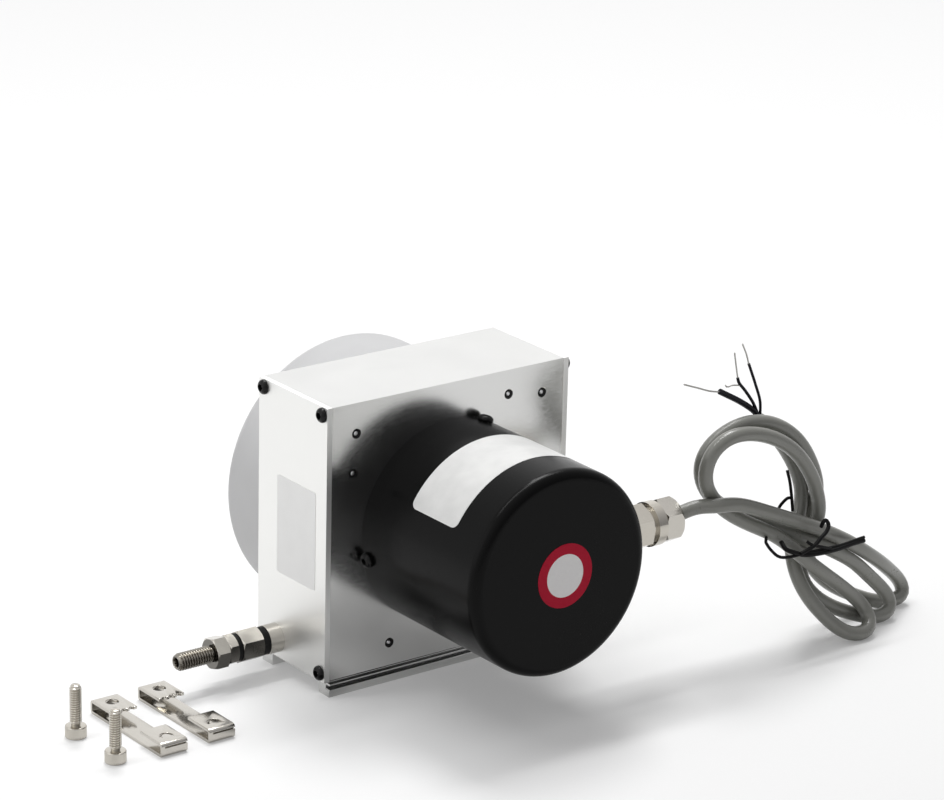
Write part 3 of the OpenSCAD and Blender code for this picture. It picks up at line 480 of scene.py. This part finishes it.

# %% [markdown]
# ## Metals
#
# Every metal here is the same shader with another colour, gloss and grain. Grain drawn out along
# one direction reads as brushing or extrusion lines, and even grain as a plated or blasted skin.
# A broad cloud over it stands for handling, so that no face is one flat value. The fittings on
# the wire also get painted shade on their undersides: their colour darkens by the direction that
# a surface faces. Ambient occlusion could find such places, but it is slow to bake.

# %% Metal finishes
def metal_finish(name, colour, rough, grain, stretch=(1, 1, 1), depth=0.01, cloud=0.08,
                 underside_shade=0.0):
    """A bare or plated metal with fine grain, a cloud of handling, and painted shade on its
    undersides.
    """
    material = bpy.data.materials.new(name)
    r = Recipe(material, "Material")
    lines, broad = r.noise(grain, stretch, 4), r.noise(45, detail=3)
    darker = tuple(c * (1 - 2 * cloud) for c in colour)
    shade = r.mix(darker, colour, broad * 0.7 + lines * 0.5)
    # Painted shade: the colour darkens where the surface faces down.
    if underside_shade:
        facing = r.node("NewGeometry", output="Normal")
        facing_up = r.node("SeparateXYZ", None, {"Vector": facing}, "Z")
        under = r.node("MapRange", {"interpolation_type": "SMOOTHSTEP"}, {
            "Value": facing_up, "From Min": 0.4, "From Max": -0.15})
        shade = r.mix(shade, tuple(c * (1 - underside_shade) for c in colour), under)
    relief = r.node("Bump", None, {"Height": lines, "Strength": 0.4, "Distance": depth * MM})
    r.finish(r.node("BsdfPrincipled", None, {
        "Base Color": shade, "Metallic": 1.0,
        "Roughness": rough + (lines - 0.5) * 0.16 + (broad - 0.5) * 0.12, "Normal": relief}))
    return material


satin_aluminium = metal_finish("satin_extrusion", (0.74, 0.74, 0.73), 0.2, 2600, (0.2, 1, 1), 0.01)
plate_aluminium = metal_finish("satin_plate", (0.79, 0.79, 0.775), 0.42, 2400, depth=0.008,
                               cloud=0.04)
turned_aluminium = metal_finish("turned_metal", (0.72, 0.72, 0.73), 0.3, 1800, (1, 0.15, 1))
screw_steel = metal_finish("set_screw_steel", (0.5, 0.49, 0.47), 0.3, 2200)
bearing_steel = metal_finish("ground_steel", (0.62, 0.62, 0.62), 0.2, 2600, (1, 0.2, 1), 0.004)
wire_steel = metal_finish("bright_wire", (0.55, 0.55, 0.54), 0.26, 3800, (0.3, 1, 1), 0.02)
nickel = metal_finish("nickel_plate", (0.57, 0.545, 0.5), 0.16, 1700, depth=0.008, cloud=0.07)
# The wire fittings and the stud get painted shade on their undersides.
fitting_nickel = metal_finish("fitting_nickel", (0.57, 0.545, 0.5), 0.16, 1700, depth=0.008,
                              underside_shade=0.85)
warm_nickel = metal_finish("warm_nickel", (0.56, 0.53, 0.475), 0.13, 1700, depth=0.008)
dull_nickel = metal_finish("dull_nickel", (0.3, 0.28, 0.245), 0.18, 1700, depth=0.008, underside_shade=0.6)
standoff_brass = metal_finish("turned_brass", (0.72, 0.55, 0.25), 0.28, 1800, (1, 0.2, 1))
tinned = metal_finish("tinned_strand", (0.45, 0.44, 0.42), 0.3, 3600)
print("materials so far:", len(bpy.data.materials))

# %% [markdown]
# With both finishes there, the leads and their bare ends are swept.

# %% Leads and bare ends
LEAD_STEP = 0.8
for name, radius, points in leads:
    bm = bmesh.new()
    sweep(bm, smooth_line(points, LEAD_STEP), radius, 16)
    make_piece(name, bm, lead_black, BASE,
               ["cable_leads"] if name == "lead_thick" else [])
for name, radius, points in bare_ends:
    bm = bmesh.new()
    sweep(bm, smooth_line(points, LEAD_STEP), radius, 12)
    make_piece(name, bm, tinned, BASE)

# %% [markdown]
# ## The wire tie
#
# A plastic coated wire is wrapped over the crossing, and its ends are twisted together and stick
# out. The wrap, the second wire beside it, the knot and the two loose ends are five bars on
# lines of their own, thicker where two wires lie twisted. One long line would be truer, but it
# could not be shaped turn by turn.

# %% Wire tie
tie_parts = {
    "tie_band": [(134.2, -77, 36.5), (129, -77.5, 36.5), (124.4, -77.8, 36.3), (120, -78, 36.4),
        (113.7, -78.2, 36.8), (108.6, -78.2, 37), (104.5, -78, 36.9), (100.8, -77.5, 36.7),
        (97.4, -77, 37), (95.2, -76.5, 38), (93.4, -75.5, 40), (93, -74, 41.4), (94, -72, 42.2),
        (104, -62, 42), (110.9, -58.8, 46), (112, -59.5, 48.1), (113.6, -60, 49.5),
        (114.8, -60, 49.4)],
    "tie_twist": [(134, -77.2, 35.4), (128.7, -77.8, 35.6), (124.1, -78.2, 35.5),
        (119.5, -78.6, 35.5), (113.2, -78.9, 35.8), (108.3, -78.6, 36.2), (105.4, -78, 36.6),
        (101.5, -77.5, 38.2), (99, -76.5, 39.5), (99.5, -73.5, 41)],
    "tie_knot": [(104, -78.6, 37.4), (107.8, -79, 38.6), (110.2, -79.2, 39.8), (112.7, -79, 41.6),
        (115.1, -78.6, 42.9), (116.6, -78, 44.4), (116.5, -77.4, 45.9), (115.8, -77, 46.5),
        (115.2, -76.6, 45.6), (115.6, -75.5, 43.8)],
    "tie_cross": [(107.2, -78, 40.9), (109.1, -78.9, 39.5), (112.5, -79.4, 38.4),
        (117.1, -79.2, 36.7)],
    "tie_inner": [(113.3, -59.5, 59.4), (114.3, -59.8, 55.9), (115.1, -60, 51.7),
        (115.6, -60.2, 47.9), (115.4, -61, 44.7)]}
TIE_R = 0.55
twisted_r = {"tie_twist": 0.8, "tie_knot": 0.7}
for name, points in tie_parts.items():
    bm = bmesh.new()
    sweep(bm, smooth_line(points, 0.5), twisted_r.get(name, TIE_R), 12)
    make_piece(name, bm, tie_black, BASE,
               ["cable_tie"] if name == "tie_band" else [])

# %% [markdown]
# ## Paint
#
# The encoder cover is satin black lacquer and the spring housing a matte light grey. A coat
# over a dark body would be the textbook way, but it mirrors too much for this dull lacquer, so
# the surface's own mirror is turned down, and a very fine orange peel breaks up what is left.

# %% Painted finishes
def paint_finish(name, colour, rough, grain, depth, gleam):
    """A lacquer or oxide: a body colour with a fine peel. gleam is the strength of its mirror."""
    material = bpy.data.materials.new(name)
    r = Recipe(material, "Material")
    peel, dust = r.noise(grain), r.noise(grain / 30, detail=4)
    shade = r.mix(tuple(c * 0.93 for c in colour), tuple(c * 1.06 + 0.001 for c in colour), dust)
    relief = r.node("Bump", None, {"Height": peel, "Strength": 0.4, "Distance": depth * MM})
    r.finish(r.node("BsdfPrincipled", None, {
        "Base Color": shade, "Roughness": rough + (peel - 0.5) * 0.08 + (dust - 0.5) * 0.1,
        "Specular IOR Level": gleam, "Normal": relief}))
    return material


black_paint = paint_finish("satin_black_lacquer", (0.002, 0.002, 0.002), 0.25, 900, 0.01, 0.09)
grey_paint = paint_finish("matte_grey_paint", (0.6, 0.6, 0.605), 0.6, 1500, 0.03, 0.2)
black_steel = paint_finish("black_oxide", (0.005, 0.005, 0.005), 0.25, 1600, 0.01, 0.2)
print("paints:", black_paint.name, grey_paint.name, black_steel.name)

# %% [markdown]
# The code disc is glass, which is all transmission. It sits inside the cover, so one plain
# recipe does, and then every CAD node gets the finish that its material slot names.

# %% Glass, and a finish for every node
def glass_finish(name):
    """Clear glass of the code disc, with a faint smear in its gloss."""
    material = bpy.data.materials.new(name)
    r = Recipe(material, "Material")
    smear = r.noise(300)
    r.finish(r.node("BsdfPrincipled", None, {
        "Base Color": r.mix((0.75, 0.82, 0.86), (0.82, 0.88, 0.9), smear),
        "Roughness": 0.06 + smear * 0.06, "Transmission Weight": 0.85, "IOR": 1.5}))
    return material


finishes = {
    "satin_aluminium": satin_aluminium, "plate_aluminium": plate_aluminium,
    "turned_aluminium": turned_aluminium, "black_steel": black_steel, "screw_steel": screw_steel,
    "bearing_steel": bearing_steel, "wire_steel": wire_steel, "grey_paint": grey_paint,
    "black_paint": black_paint, "nickel": nickel, "standoff_brass": standoff_brass,
    "black_rubber": black_rubber, "white_ceramic": white_ceramic,
    "coupling_plastic": coupling_plastic, "disc_glass": glass_finish("disc_glass_clear"),
    "board_green": board_green, "chip_black": chip_black, "cable_grey": cable_grey,
    "tie_black": tie_black, "lead_black": lead_black}
node_slot = {}
for name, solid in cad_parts.items():
    slot = solid.material_slots[0].material.name.split(".")[0]
    node_slot[name] = slot
    solid.material_slots[0].material = finishes[slot]
print("finished nodes:", len(node_slot))

# %% [markdown]
# ## Screws and threads
#
# A thread is a ridge that climbs one pitch in each turn. It could be a screw modifier on a small
# profile. Here a turned part is a stack of rings, and a ring's radius may depend on the angle:
# a constant gives a round bar, a wall of six flats a hexagon, and a phase that grows with the
# angle a true helical thread.

# %% Turned parts
def turned(bm, foot, axis, rings, sides):
    """Adds a stack of rings to bm. Each is (distance, radius or function of the angle) in mm."""
    axis = Vector(axis).normalized()
    first = Vector((1, 0, 0)) if abs(axis.z) > 0.9 else Vector((0, 0, 1))
    first = (first - axis * first.dot(axis)).normalized()
    second = axis.cross(first)
    made = []
    for distance, radius in rings:
        ring = []
        for k in range(sides):
            t = 2 * math.pi * k / sides
            size = radius(t) if callable(radius) else radius
            ring.append(bm.verts.new(Vector(foot) + (axis * distance + (
                first * math.cos(t) + second * math.sin(t)) * size) * MM))
        made.append(ring)
    skin(bm, made)


def hexagon(flats):
    """The radius of a hexagon as a function of the angle, from its size across flats."""
    def radius(t):
        corner = (t + math.pi / 6) % (math.pi / 3) - math.pi / 6
        return flats / 2 / math.cos(corner)
    return radius


RINGS_PER_PITCH = 9


def thread(start, end, pitch, crest, depth):
    """Rings of a helical thread, which runs out towards its ends."""
    rings, count = [], round((end - start) / pitch * RINGS_PER_PITCH)
    for i in range(count + 1):
        x = start + (end - start) * i / count
        fade = min(1, (x - start) / pitch + 0.25, (end - x) / pitch + 0.25)

        def radius(t, x=x, fade=fade):
            phase = abs(2 * ((x / pitch - t / (2 * math.pi)) % 1) - 1)
            return crest - depth + depth * fade * min(1, max(0, (0.8 - phase) / 0.62))
        rings.append((x, radius))
    return rings


SINK = 0.4


def domed_head(bm, foot, axis, r, h):
    """A button head with a hexagon socket. It stands h above the surface at foot."""
    key = hexagon(r * 0.9)
    turned(bm, foot, axis, [
        (-SINK, r * 0.96), (0, r), (h * 0.25, r), (h * 0.5, r * 0.95), (h * 0.72, r * 0.84),
        (h * 0.88, r * 0.7), (h, r * 0.53), (h * 0.97, key), (h * 0.3, key),
        (h * 0.2, r * 0.1)], 48)


print("turned parts ready")

# %% [markdown]
# The stud that the customer's bracket screws onto is an M6 thread with a chamfered tip and a
# key socket. Its smooth core carries the nuts, so only the free end is threaded.

# %% Threaded stud
stud_low, stud_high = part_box("threaded_stud")
nut_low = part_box("lock_nut")[0]
wire_y = (stud_low.y + stud_high.y) / 2
wire_z = (stud_low.z + stud_high.z) / 2
free = (nut_low.x - stud_low.x) / MM
whole = (stud_high.x - stud_low.x) / MM
stud_r = (stud_high.y - stud_low.y) / 2 / MM
stud_key, core_r = hexagon(3.0), stud_r - 0.55
bm = bmesh.new()
turned(bm, (stud_low.x, wire_y, wire_z), (1, 0, 0), [
    (2.6, 0.2), (2.6, stud_key), (0.25, stud_key), (0, 1.85), (0, stud_r - 0.85),
    (0.25, stud_r - 0.7)] + thread(0.3, free, 1.0, stud_r, 0.6)
    + [(free + 0.02, core_r), (whole, core_r)], 60)
make_piece("stud_thread", bm, dull_nickel, HOOK, ["threaded_stud"], 50)

# %% [markdown]
# The four small screws at each end plate and the three round the cover's mouth are black button
# heads, which catch the light as soft domes. Their places could be typed again, but they would
# drift from the CAD, so they are read from the loose parts of the CAD node.

# %% Button heads
def loose_parts(node):
    """The points of each separate solid in a CAD node."""
    source = bmesh.new()
    source.from_mesh(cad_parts[node].data)
    bmesh.ops.remove_doubles(source, verts=source.verts, dist=1e-6)
    left, found = dict.fromkeys(source.verts), []       # a dict, unlike a set, keeps its order
    while left:
        stack, group = [left.popitem()[0]], []
        while stack:
            v = stack.pop()
            group.append(v.co.copy())
            for e in v.link_edges:
                w = e.other_vert(v)
                if w in left:
                    del left[w]
                    stack.append(w)
        found.append(np.array(group))
    source.free()
    return found


def add_heads(name, node, axis_of, r, h):
    """Rebuilds each screw of a node with a domed head, on the line where the CAD has it."""
    bm = bmesh.new()
    groups = loose_parts(node)
    for points in groups:
        axis = Vector(axis_of(points.mean(0)))
        along = points @ np.array(axis)
        top = along.max()
        head = points[along > top - 0.9 * h * MM]
        centre = Vector((head.max(0) + head.min(0)) / 2)
        domed_head(bm, centre + axis * (top - h * MM - centre.dot(axis)), axis, r, h)
    make_piece(name, bm, black_steel, BASE, [node], 28)
    print(name, "screws:", len(groups))


def outward_x(centre):
    return (1 if centre[0] > 0 else -1, 0, 0)


def outward_round(centre):
    return Vector((centre[0], 0, centre[2] - axis_z * MM)).normalized()


plate_low, plate_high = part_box("wire_end_plate")
cover_low, cover_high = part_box("encoder_cover")
axis_z = (plate_low.z + plate_high.z) / 2 / MM
cover_r = (cover_high.x - cover_low.x) / 2 / MM
add_heads("plate_screw_heads", "end_plate_screws", outward_x, 2.5, 1.6)
add_heads("cover_screw_heads", "cover_screws", outward_round, 2.6, 1.5)

# %% [markdown]
# The six small set screws in the front face sit in counterbores. Only a dark ring of shade and a
# bright point are seen of each, so a black ring of painted shade is set round a bright cone point.

# %% Set screws in the face
shade_rings, tips = bmesh.new(), bmesh.new()
for points in loose_parts("face_screws"):
    low, high = points.min(0), points.max(0)
    foot = Vector(((low[0] + high[0]) / 2, low[1], (low[2] + high[2]) / 2))
    r = (high[0] - low[0]) / 2 / MM
    # A black ring of painted shade fills the counterbore round each screw.
    turned(shade_rings, foot, (0, -1, 0), [(-1.2, r * 0.62), (-1.2, r * 1.3), (0.02, r * 1.3),
                                       (0.05, r * 1.22), (-0.1, r * 0.7), (-0.6, r * 0.62)], 32)
    turned(tips, foot, (0, -1, 0), [(-1.3, r * 0.6), (-0.25, r * 0.6), (0, r * 0.42),
                                    (0.02, r * 0.1)], 32)
make_piece("set_screw_shade_rings", shade_rings, black_steel, BASE, ["face_screws"])
make_piece("set_screw_points", tips, turned_aluminium, BASE)

# %% [markdown]
# ## Clamp screws
#
# Two socket head cap screws stand on their heads beside the clamps. A knurled head has many
# fine ribs and a plain chamfer, and the M4 shank is threaded over its whole length.

# %% Cap screws
RIBS, RIB_DEPTH = 36, 0.06
HEAD_H, SHANK_R = 4.0, 2.0


def cap_screw(bm, foot, head_r, head_h, shank_r, length):
    """A knurled socket head that stands on its face, with a threaded shank above it."""
    def knurl(t):
        return head_r - RIB_DEPTH + RIB_DEPTH * math.cos(t * RIBS)

    key = hexagon(3.4)
    turned(bm, foot, (0, 0, 1), [
        (2.0, 0.2), (2.0, key), (0.3, key), (0, 1.95), (0, head_r - 0.3),
        (0.12, head_r - 0.1), (0.35, head_r), (0.5, knurl), (head_h - 0.5, knurl),
        (head_h - 0.35, head_r), (head_h - 0.1, head_r - 0.12), (head_h, head_r - 0.35),
        (head_h, shank_r + 0.1), (head_h + 0.1, shank_r - 0.5), (head_h + 0.7, shank_r - 0.5)]
        + thread(head_h + 0.75, head_h + length - 0.5, 0.8, shank_r, 0.5)
        + [(head_h + length - 0.5, shank_r - 0.5), (head_h + length - 0.15, shank_r - 0.55),
           (head_h + length, shank_r - 0.8)], 216)


bm = bmesh.new()
for points in loose_parts("clamp_screws"):
    low, high = points.min(0), points.max(0)
    cap_screw(bm, ((low[0] + high[0]) / 2, (low[1] + high[1]) / 2, low[2]),
              (high[0] - low[0]) / 2 / MM, HEAD_H, SHANK_R, (high[2] - low[2]) / MM - HEAD_H)
make_piece("cap_screws", bm, warm_nickel, BASE, ["clamp_screws"], 40)

# %% [markdown]
# ## Sheet metal clamps
#
# Each clamp is one strip of 1 mm steel, folded up at both ends and back over itself, nickel
# plated. The strip's side view is an outline with rounded folds, pushed out to the strip's
# width. The hole, the slot, the arch and the teeth are punched, so they are cut with Booleans.

# %% Outlines with rounded corners, and pushed out solids
def rounded(corners, steps=5):
    """A closed outline from (u, v, radius) corners, its corners turned into arcs."""
    out, n = [], len(corners)
    for i, (u, v, r) in enumerate(corners):
        here = Vector((u, v))
        before = (Vector(corners[i - 1][:2]) - here).normalized()
        after = (Vector(corners[(i + 1) % n][:2]) - here).normalized()
        if r <= 0:
            out.append((u, v))
            continue
        half = math.acos(max(-1, min(1, before.dot(after)))) / 2
        centre = here + (before + after).normalized() * (r / math.sin(half))
        start = here + before * (r / math.tan(half)) - centre
        stop = here + after * (r / math.tan(half)) - centre
        for k in range(steps + 1):
            arm = start.lerp(stop, k / steps).normalized() * r
            out.append(tuple(centre + arm))
    return out


def pushed(bm, outline, to_place, low, high):
    """Adds an outline pushed out from low to high. to_place turns (u, v, w) into mm."""
    skin(bm, [[bm.verts.new(Vector(to_place(u, v, w)) * MM) for u, v in outline]
              for w in (low, high)])


def cut(target, cutter_bm):
    """Takes the cutters away from a bmesh and returns the result as a new bmesh."""
    pair = []
    for name, source in (("cut_target", target), ("cut_tool", cutter_bm)):
        bmesh.ops.recalc_face_normals(source, faces=source.faces)
        mesh = bpy.data.meshes.new(name)
        source.to_mesh(mesh)
        source.free()
        made = bpy.data.objects.new(name, mesh)
        bpy.context.scene.collection.objects.link(made)
        pair.append(made)
    boolean = pair[0].modifiers.new("punch", "BOOLEAN")
    boolean.operation, boolean.solver, boolean.object = "DIFFERENCE", "EXACT", pair[1]
    bpy.context.view_layer.update()
    shaped = pair[0].evaluated_get(bpy.context.evaluated_depsgraph_get()).to_mesh()
    result = bmesh.new()
    result.from_mesh(shaped)
    for made in pair:
        bpy.data.objects.remove(made)
    return result


SHARP = math.radians(40)


def ease_edges(bm, width):
    """Bevels the edges of bm whose faces meet at a sharp angle."""
    bmesh.ops.remove_doubles(bm, verts=bm.verts, dist=2e-6)
    bmesh.ops.dissolve_limit(bm, angle_limit=math.radians(0.5), verts=bm.verts, edges=bm.edges)
    sharp = [e for e in bm.edges if len(e.link_faces) == 2 and e.calc_face_angle(0) > SHARP]
    bmesh.ops.bevel(bm, geom=sharp, offset=width * MM, segments=2, profile=0.6,
                    affect="EDGES", clamp_overlap=True)


print("sheet metal tools ready")

# %% [markdown]
# ## Eased edges
#
# No real edge is perfectly sharp, and a thin bright line along it says metal at once. A bevel
# shader could fake it, but the exported meshes would stay sharp. So the box, its plates and the
# hexagons are copied from the CAD and their edges are bevelled. Three beads along each rail give
# the extrusion its fine steps.

# %% Box, rails and hexagons
def softened(node, width, body=BASE, metal=None):
    """A copy of a CAD node with its sharp edges eased, which stands for the node."""
    bm = bmesh.new()
    bm.from_mesh(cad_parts[node].data)
    ease_edges(bm, width)
    make_piece(node + "_eased", bm, metal or finishes[node_slot[node]], body,
               [node], 12)


for node in ("wire_end_plate", "rear_end_plate", "housing"):
    softened(node, 0.4)

BEAD_IN, BEAD_OUT = 17.2, 19.8
bead_heights = ((2.35, 2.8), (4.1, 4.75), (5.55, 6.0))
beads, (box_low, box_high) = bmesh.new(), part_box("housing")
for side in (-1, 1):
    for low, high in bead_heights:
        bead = rounded([(side * BEAD_IN, low, 0), (side * BEAD_OUT, low, 0.2),
                        (side * BEAD_OUT, high, 0.2), (side * BEAD_IN, high, 0)], 3)
        pushed(beads, bead, lambda u, v, w: (w, u, v), box_low.x / MM, box_high.x / MM)
make_piece("rail_beads", beads, satin_aluminium, BASE)
for node, metal in (("gland_nut", None), ("gland_body", warm_nickel), ("gland_cap", None)):
    softened(node, 0.25, BASE, metal)
for node in ("lock_nut", "hex_sleeve", "jam_nut"):
    softened(node, 0.22, HOOK, fitting_nickel)

# %% [markdown]
# One function makes a clamp between two corners, so both come from the same outline. The punch
# tools are solids too: a round hole, three teeth, an arch round the tongue, and a slit where
# the folded sheet does not quite close.

# %% Clamps
CLAMP_T, TAB, HOLE_IN = 1.0, 13.0, 5.5
HOLE_R, TOOTH_R = 2.2, 0.85
OUTER_FOLD, INNER_FOLD = 1.25, 0.35


def clamp_solid(low, high):
    """One folded clamp, between its lowest and highest corner in mm."""
    half, top, wide = (high[1] - low[1]) / 2, high[2], high[0] - low[0]
    x0, y0 = (low[0] + high[0]) / 2, (low[1] + high[1]) / 2
    out, inn = OUTER_FOLD, INNER_FOLD
    outline = rounded([
        (-half, 0, out), (half, 0, out), (half, top, out), (half - TAB, top, 0.25),
        (half - TAB, top - CLAMP_T, 0.2), (half - CLAMP_T, top - CLAMP_T, inn),
        (half - CLAMP_T, CLAMP_T, inn), (CLAMP_T - half, CLAMP_T, inn),
        (CLAMP_T - half, top - CLAMP_T, inn), (TAB - half, top - CLAMP_T, 0.2),
        (TAB - half, top, 0.25), (-half, top, out)])
    body = bmesh.new()
    pushed(body, outline, lambda u, v, w: (x0 + w, y0 + u, v), -wide / 2, wide / 2)
    tools = bmesh.new()
    hole_y, up = half - HOLE_IN, (0, 0, 1)
    turned(tools, Vector((x0, y0 + hole_y, top - 1.5)) * MM, up, [(0, HOLE_R), (3, HOLE_R)], 48)
    for x in (-wide / 4 - 0.4, 0, wide / 4 + 0.4):
        turned(tools, Vector((x0 + x, y0 + half - TAB, top - 1.5)) * MM, up,
               [(0, TOOTH_R), (3, TOOTH_R)], 24)
    arch = [(x * math.cos(a), y * math.sin(a)) for x, y, span in (
        (2.5, 2.9, range(0, 181, 15)), (1.7, 2.0, range(180, -1, -15)))
        for a in (math.radians(d) for d in span)]
    pushed(tools, arch, lambda u, v, w: (x0 + u, y0 - hole_y - 1 + v, w), top - 1.5, top + 0.5)
    slit = [(-wide / 2 + 1.2, top - 1.7), (wide / 2 + 1, top - 1.7),
            (wide / 2 + 1, top - 1.1), (-wide / 2 + 1.2, top - 1.1)]
    pushed(tools, slit, lambda u, v, w: (x0 + u, y0 + w, v), -half - 0.5, -half + 0.95)
    shaped = cut(body, tools)
    ease_edges(shaped, 0.1)
    return shaped


clamps = bmesh.new()
for points in loose_parts("mounting_clamps"):
    one = clamp_solid(points.min(0) / MM, points.max(0) / MM)
    mesh = bpy.data.meshes.new("clamp_part")
    one.to_mesh(mesh)
    one.free()
    clamps.from_mesh(mesh)
make_piece("folded_clamps", clamps, nickel, BASE, ["mounting_clamps"], 30)

# %% [markdown]
# ## Labels
#
# The real product carries stickers: one on the wire end, one round the cover and a round one on
# its front. They are plain vinyl a tenth of a millimetre thick, and they stay blank here. Cut
# shapes with rounded corners on the surface catch the light as film does, which a colour painted
# into the metal would not.

# %% Blank labels
def label_finish(name, colour, rough, mottled):
    """White film: a faint weave of fibres, and a broad mottle where it is rubbed."""
    material = bpy.data.materials.new(name)
    r = Recipe(material, "Material")
    broad, fine = r.noise(150, detail=5), r.noise(2600)
    rubbed = tuple(c * (1 - mottled) for c in colour)
    shade = r.mix(rubbed, colour, (broad - 0.3) * 2.2 + fine * 0.2)
    relief = r.node("Bump", None, {"Height": fine, "Strength": 0.3, "Distance": 0.01 * MM})
    r.finish(r.node("BsdfPrincipled", None, {
        "Base Color": shade, "Roughness": rough + (fine - 0.5) * 0.2, "Normal": relief}))
    return material


FILM_T, COLUMNS, ROWS = 0.1, 40, 6


def wrapped_label(bm, centre, radius, angles, y_range, corner):
    """A film round a cylinder along Y, between two angles, with rounded corners."""
    middle, half = (y_range[0] + y_range[1]) / 2, (y_range[1] - y_range[0]) / 2
    span = math.radians(angles[1] - angles[0]) * radius
    arc = [corner * (1 - math.cos(math.pi * k / 12)) for k in range(7)]
    places = sorted(set([round(a, 4) for a in arc] + [round(span - a, 4) for a in arc]
                        + list(np.linspace(corner, span - corner, COLUMNS))))
    sheets = []
    for r in (radius, radius + FILM_T):
        grid = []
        for s in places:
            near = min(s, span - s, corner)
            reach = half - corner + math.sqrt(max(0, corner ** 2 - (corner - near) ** 2))
            a = math.radians(angles[0]) + s / radius
            grid.append([bm.verts.new((Vector(centre) + Vector(
                (r * math.cos(a), middle + reach * (2 * k / ROWS - 1), r * math.sin(a)))) * MM)
                for k in range(ROWS + 1)])
        sheets.append(grid)
    for grid in sheets:
        for left, right in zip(grid, grid[1:]):
            for k in range(ROWS):
                bm.faces.new((left[k], left[k + 1], right[k + 1], right[k]))
    inner, outer = sheets
    a, b = ([row[0] for row in g] + g[-1][1:] + [row[-1] for row in g[-2::-1]] + g[0][-2:0:-1]
            for g in (inner, outer))
    for k in range(len(a)):
        j = (k + 1) % len(a)
        bm.faces.new((a[k], a[j], b[j], b[k]))


label_white = label_finish("label_film", (0.8, 0.8, 0.79), 0.38, 0.12)
bm = bmesh.new()
wrapped_label(bm, (0, 0, axis_z), cover_r, (62, 151), (-64.5, -40.5), 2.5)
make_piece("cover_label", bm, label_white, BASE)

bm = bmesh.new()
tag = rounded([(-13.5, 36, 1), (8.5, 36, 1), (8.5, 70, 1), (-13.5, 70, 1)], 4)
pushed(bm, tag, lambda u, v, w: (w, u, v), plate_low.x / MM - FILM_T, plate_low.x / MM)
label_grey = label_finish("label_film_grey", (0.96, 0.96, 0.95), 0.42, 0.04)
make_piece("wire_end_label", bm, label_grey, BASE)

# %% [markdown]
# The round sticker is a crimson ring round a pale centre, printed on gloss film. The ring is in
# the material, because print has no thickness: the distance from the sticker's middle picks the
# colour.

# %% Round sticker
RING_IN, RING_OUT, STICKER_R = 7.3, 12, 10.9     # the print runs past the film's edge
sticker_at = Vector((1.4, cover_low.y / MM, 52.6)) * MM
ring_print = bpy.data.materials.new("ring_print")
r = Recipe(ring_print, "Material")
from_middle = r.node("VectorMath", {"operation": "SUBTRACT"}, {0: r.place(), 1: sticker_at})
distance = r.node("VectorMath", {"operation": "LENGTH"}, {"Vector": from_middle}, "Value")
band = distance.above(RING_IN * MM) - distance.above(RING_OUT * MM)
ink = r.noise(900)
red = r.mix((0.4, 0.002, 0.022), (0.45, 0.004, 0.03), ink)
white = r.mix((0.78, 0.76, 0.76), (0.84, 0.83, 0.82), ink)
relief = r.node("Bump", None, {"Height": ink, "Strength": 0.2, "Distance": 0.01 * MM})
r.finish(r.node("BsdfPrincipled", None, {
    "Base Color": r.mix(white, red, band), "Roughness": 0.3 + ink * 0.1,
    "Specular IOR Level": 0.1, "Normal": relief}))
bm = bmesh.new()
turned(bm, sticker_at, (0, -1, 0), [(-0.02, STICKER_R), (FILM_T, STICKER_R)], 96)
make_piece("round_sticker", bm, ring_print, BASE)

# %% [markdown]
# ## The draw wire
#
# The measuring wire is stranded steel under a millimetre thick. It has one end on the drum and
# one in the sleeve, and here it is a straight bar between them, along the CAD wire.

# %% Draw wire
wire_low, wire_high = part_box("draw_wire")
bm = bmesh.new()
STEPS = 60
sweep(bm, [(wire_low.x + (wire_high.x - wire_low.x) * k / STEPS, wire_y, wire_z)
           for k in range(STEPS + 1)], (wire_high.z - wire_low.z) / 2 / MM, 14)
wire = make_piece("stranded_wire", bm, wire_steel, None, ["draw_wire"])
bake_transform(wire)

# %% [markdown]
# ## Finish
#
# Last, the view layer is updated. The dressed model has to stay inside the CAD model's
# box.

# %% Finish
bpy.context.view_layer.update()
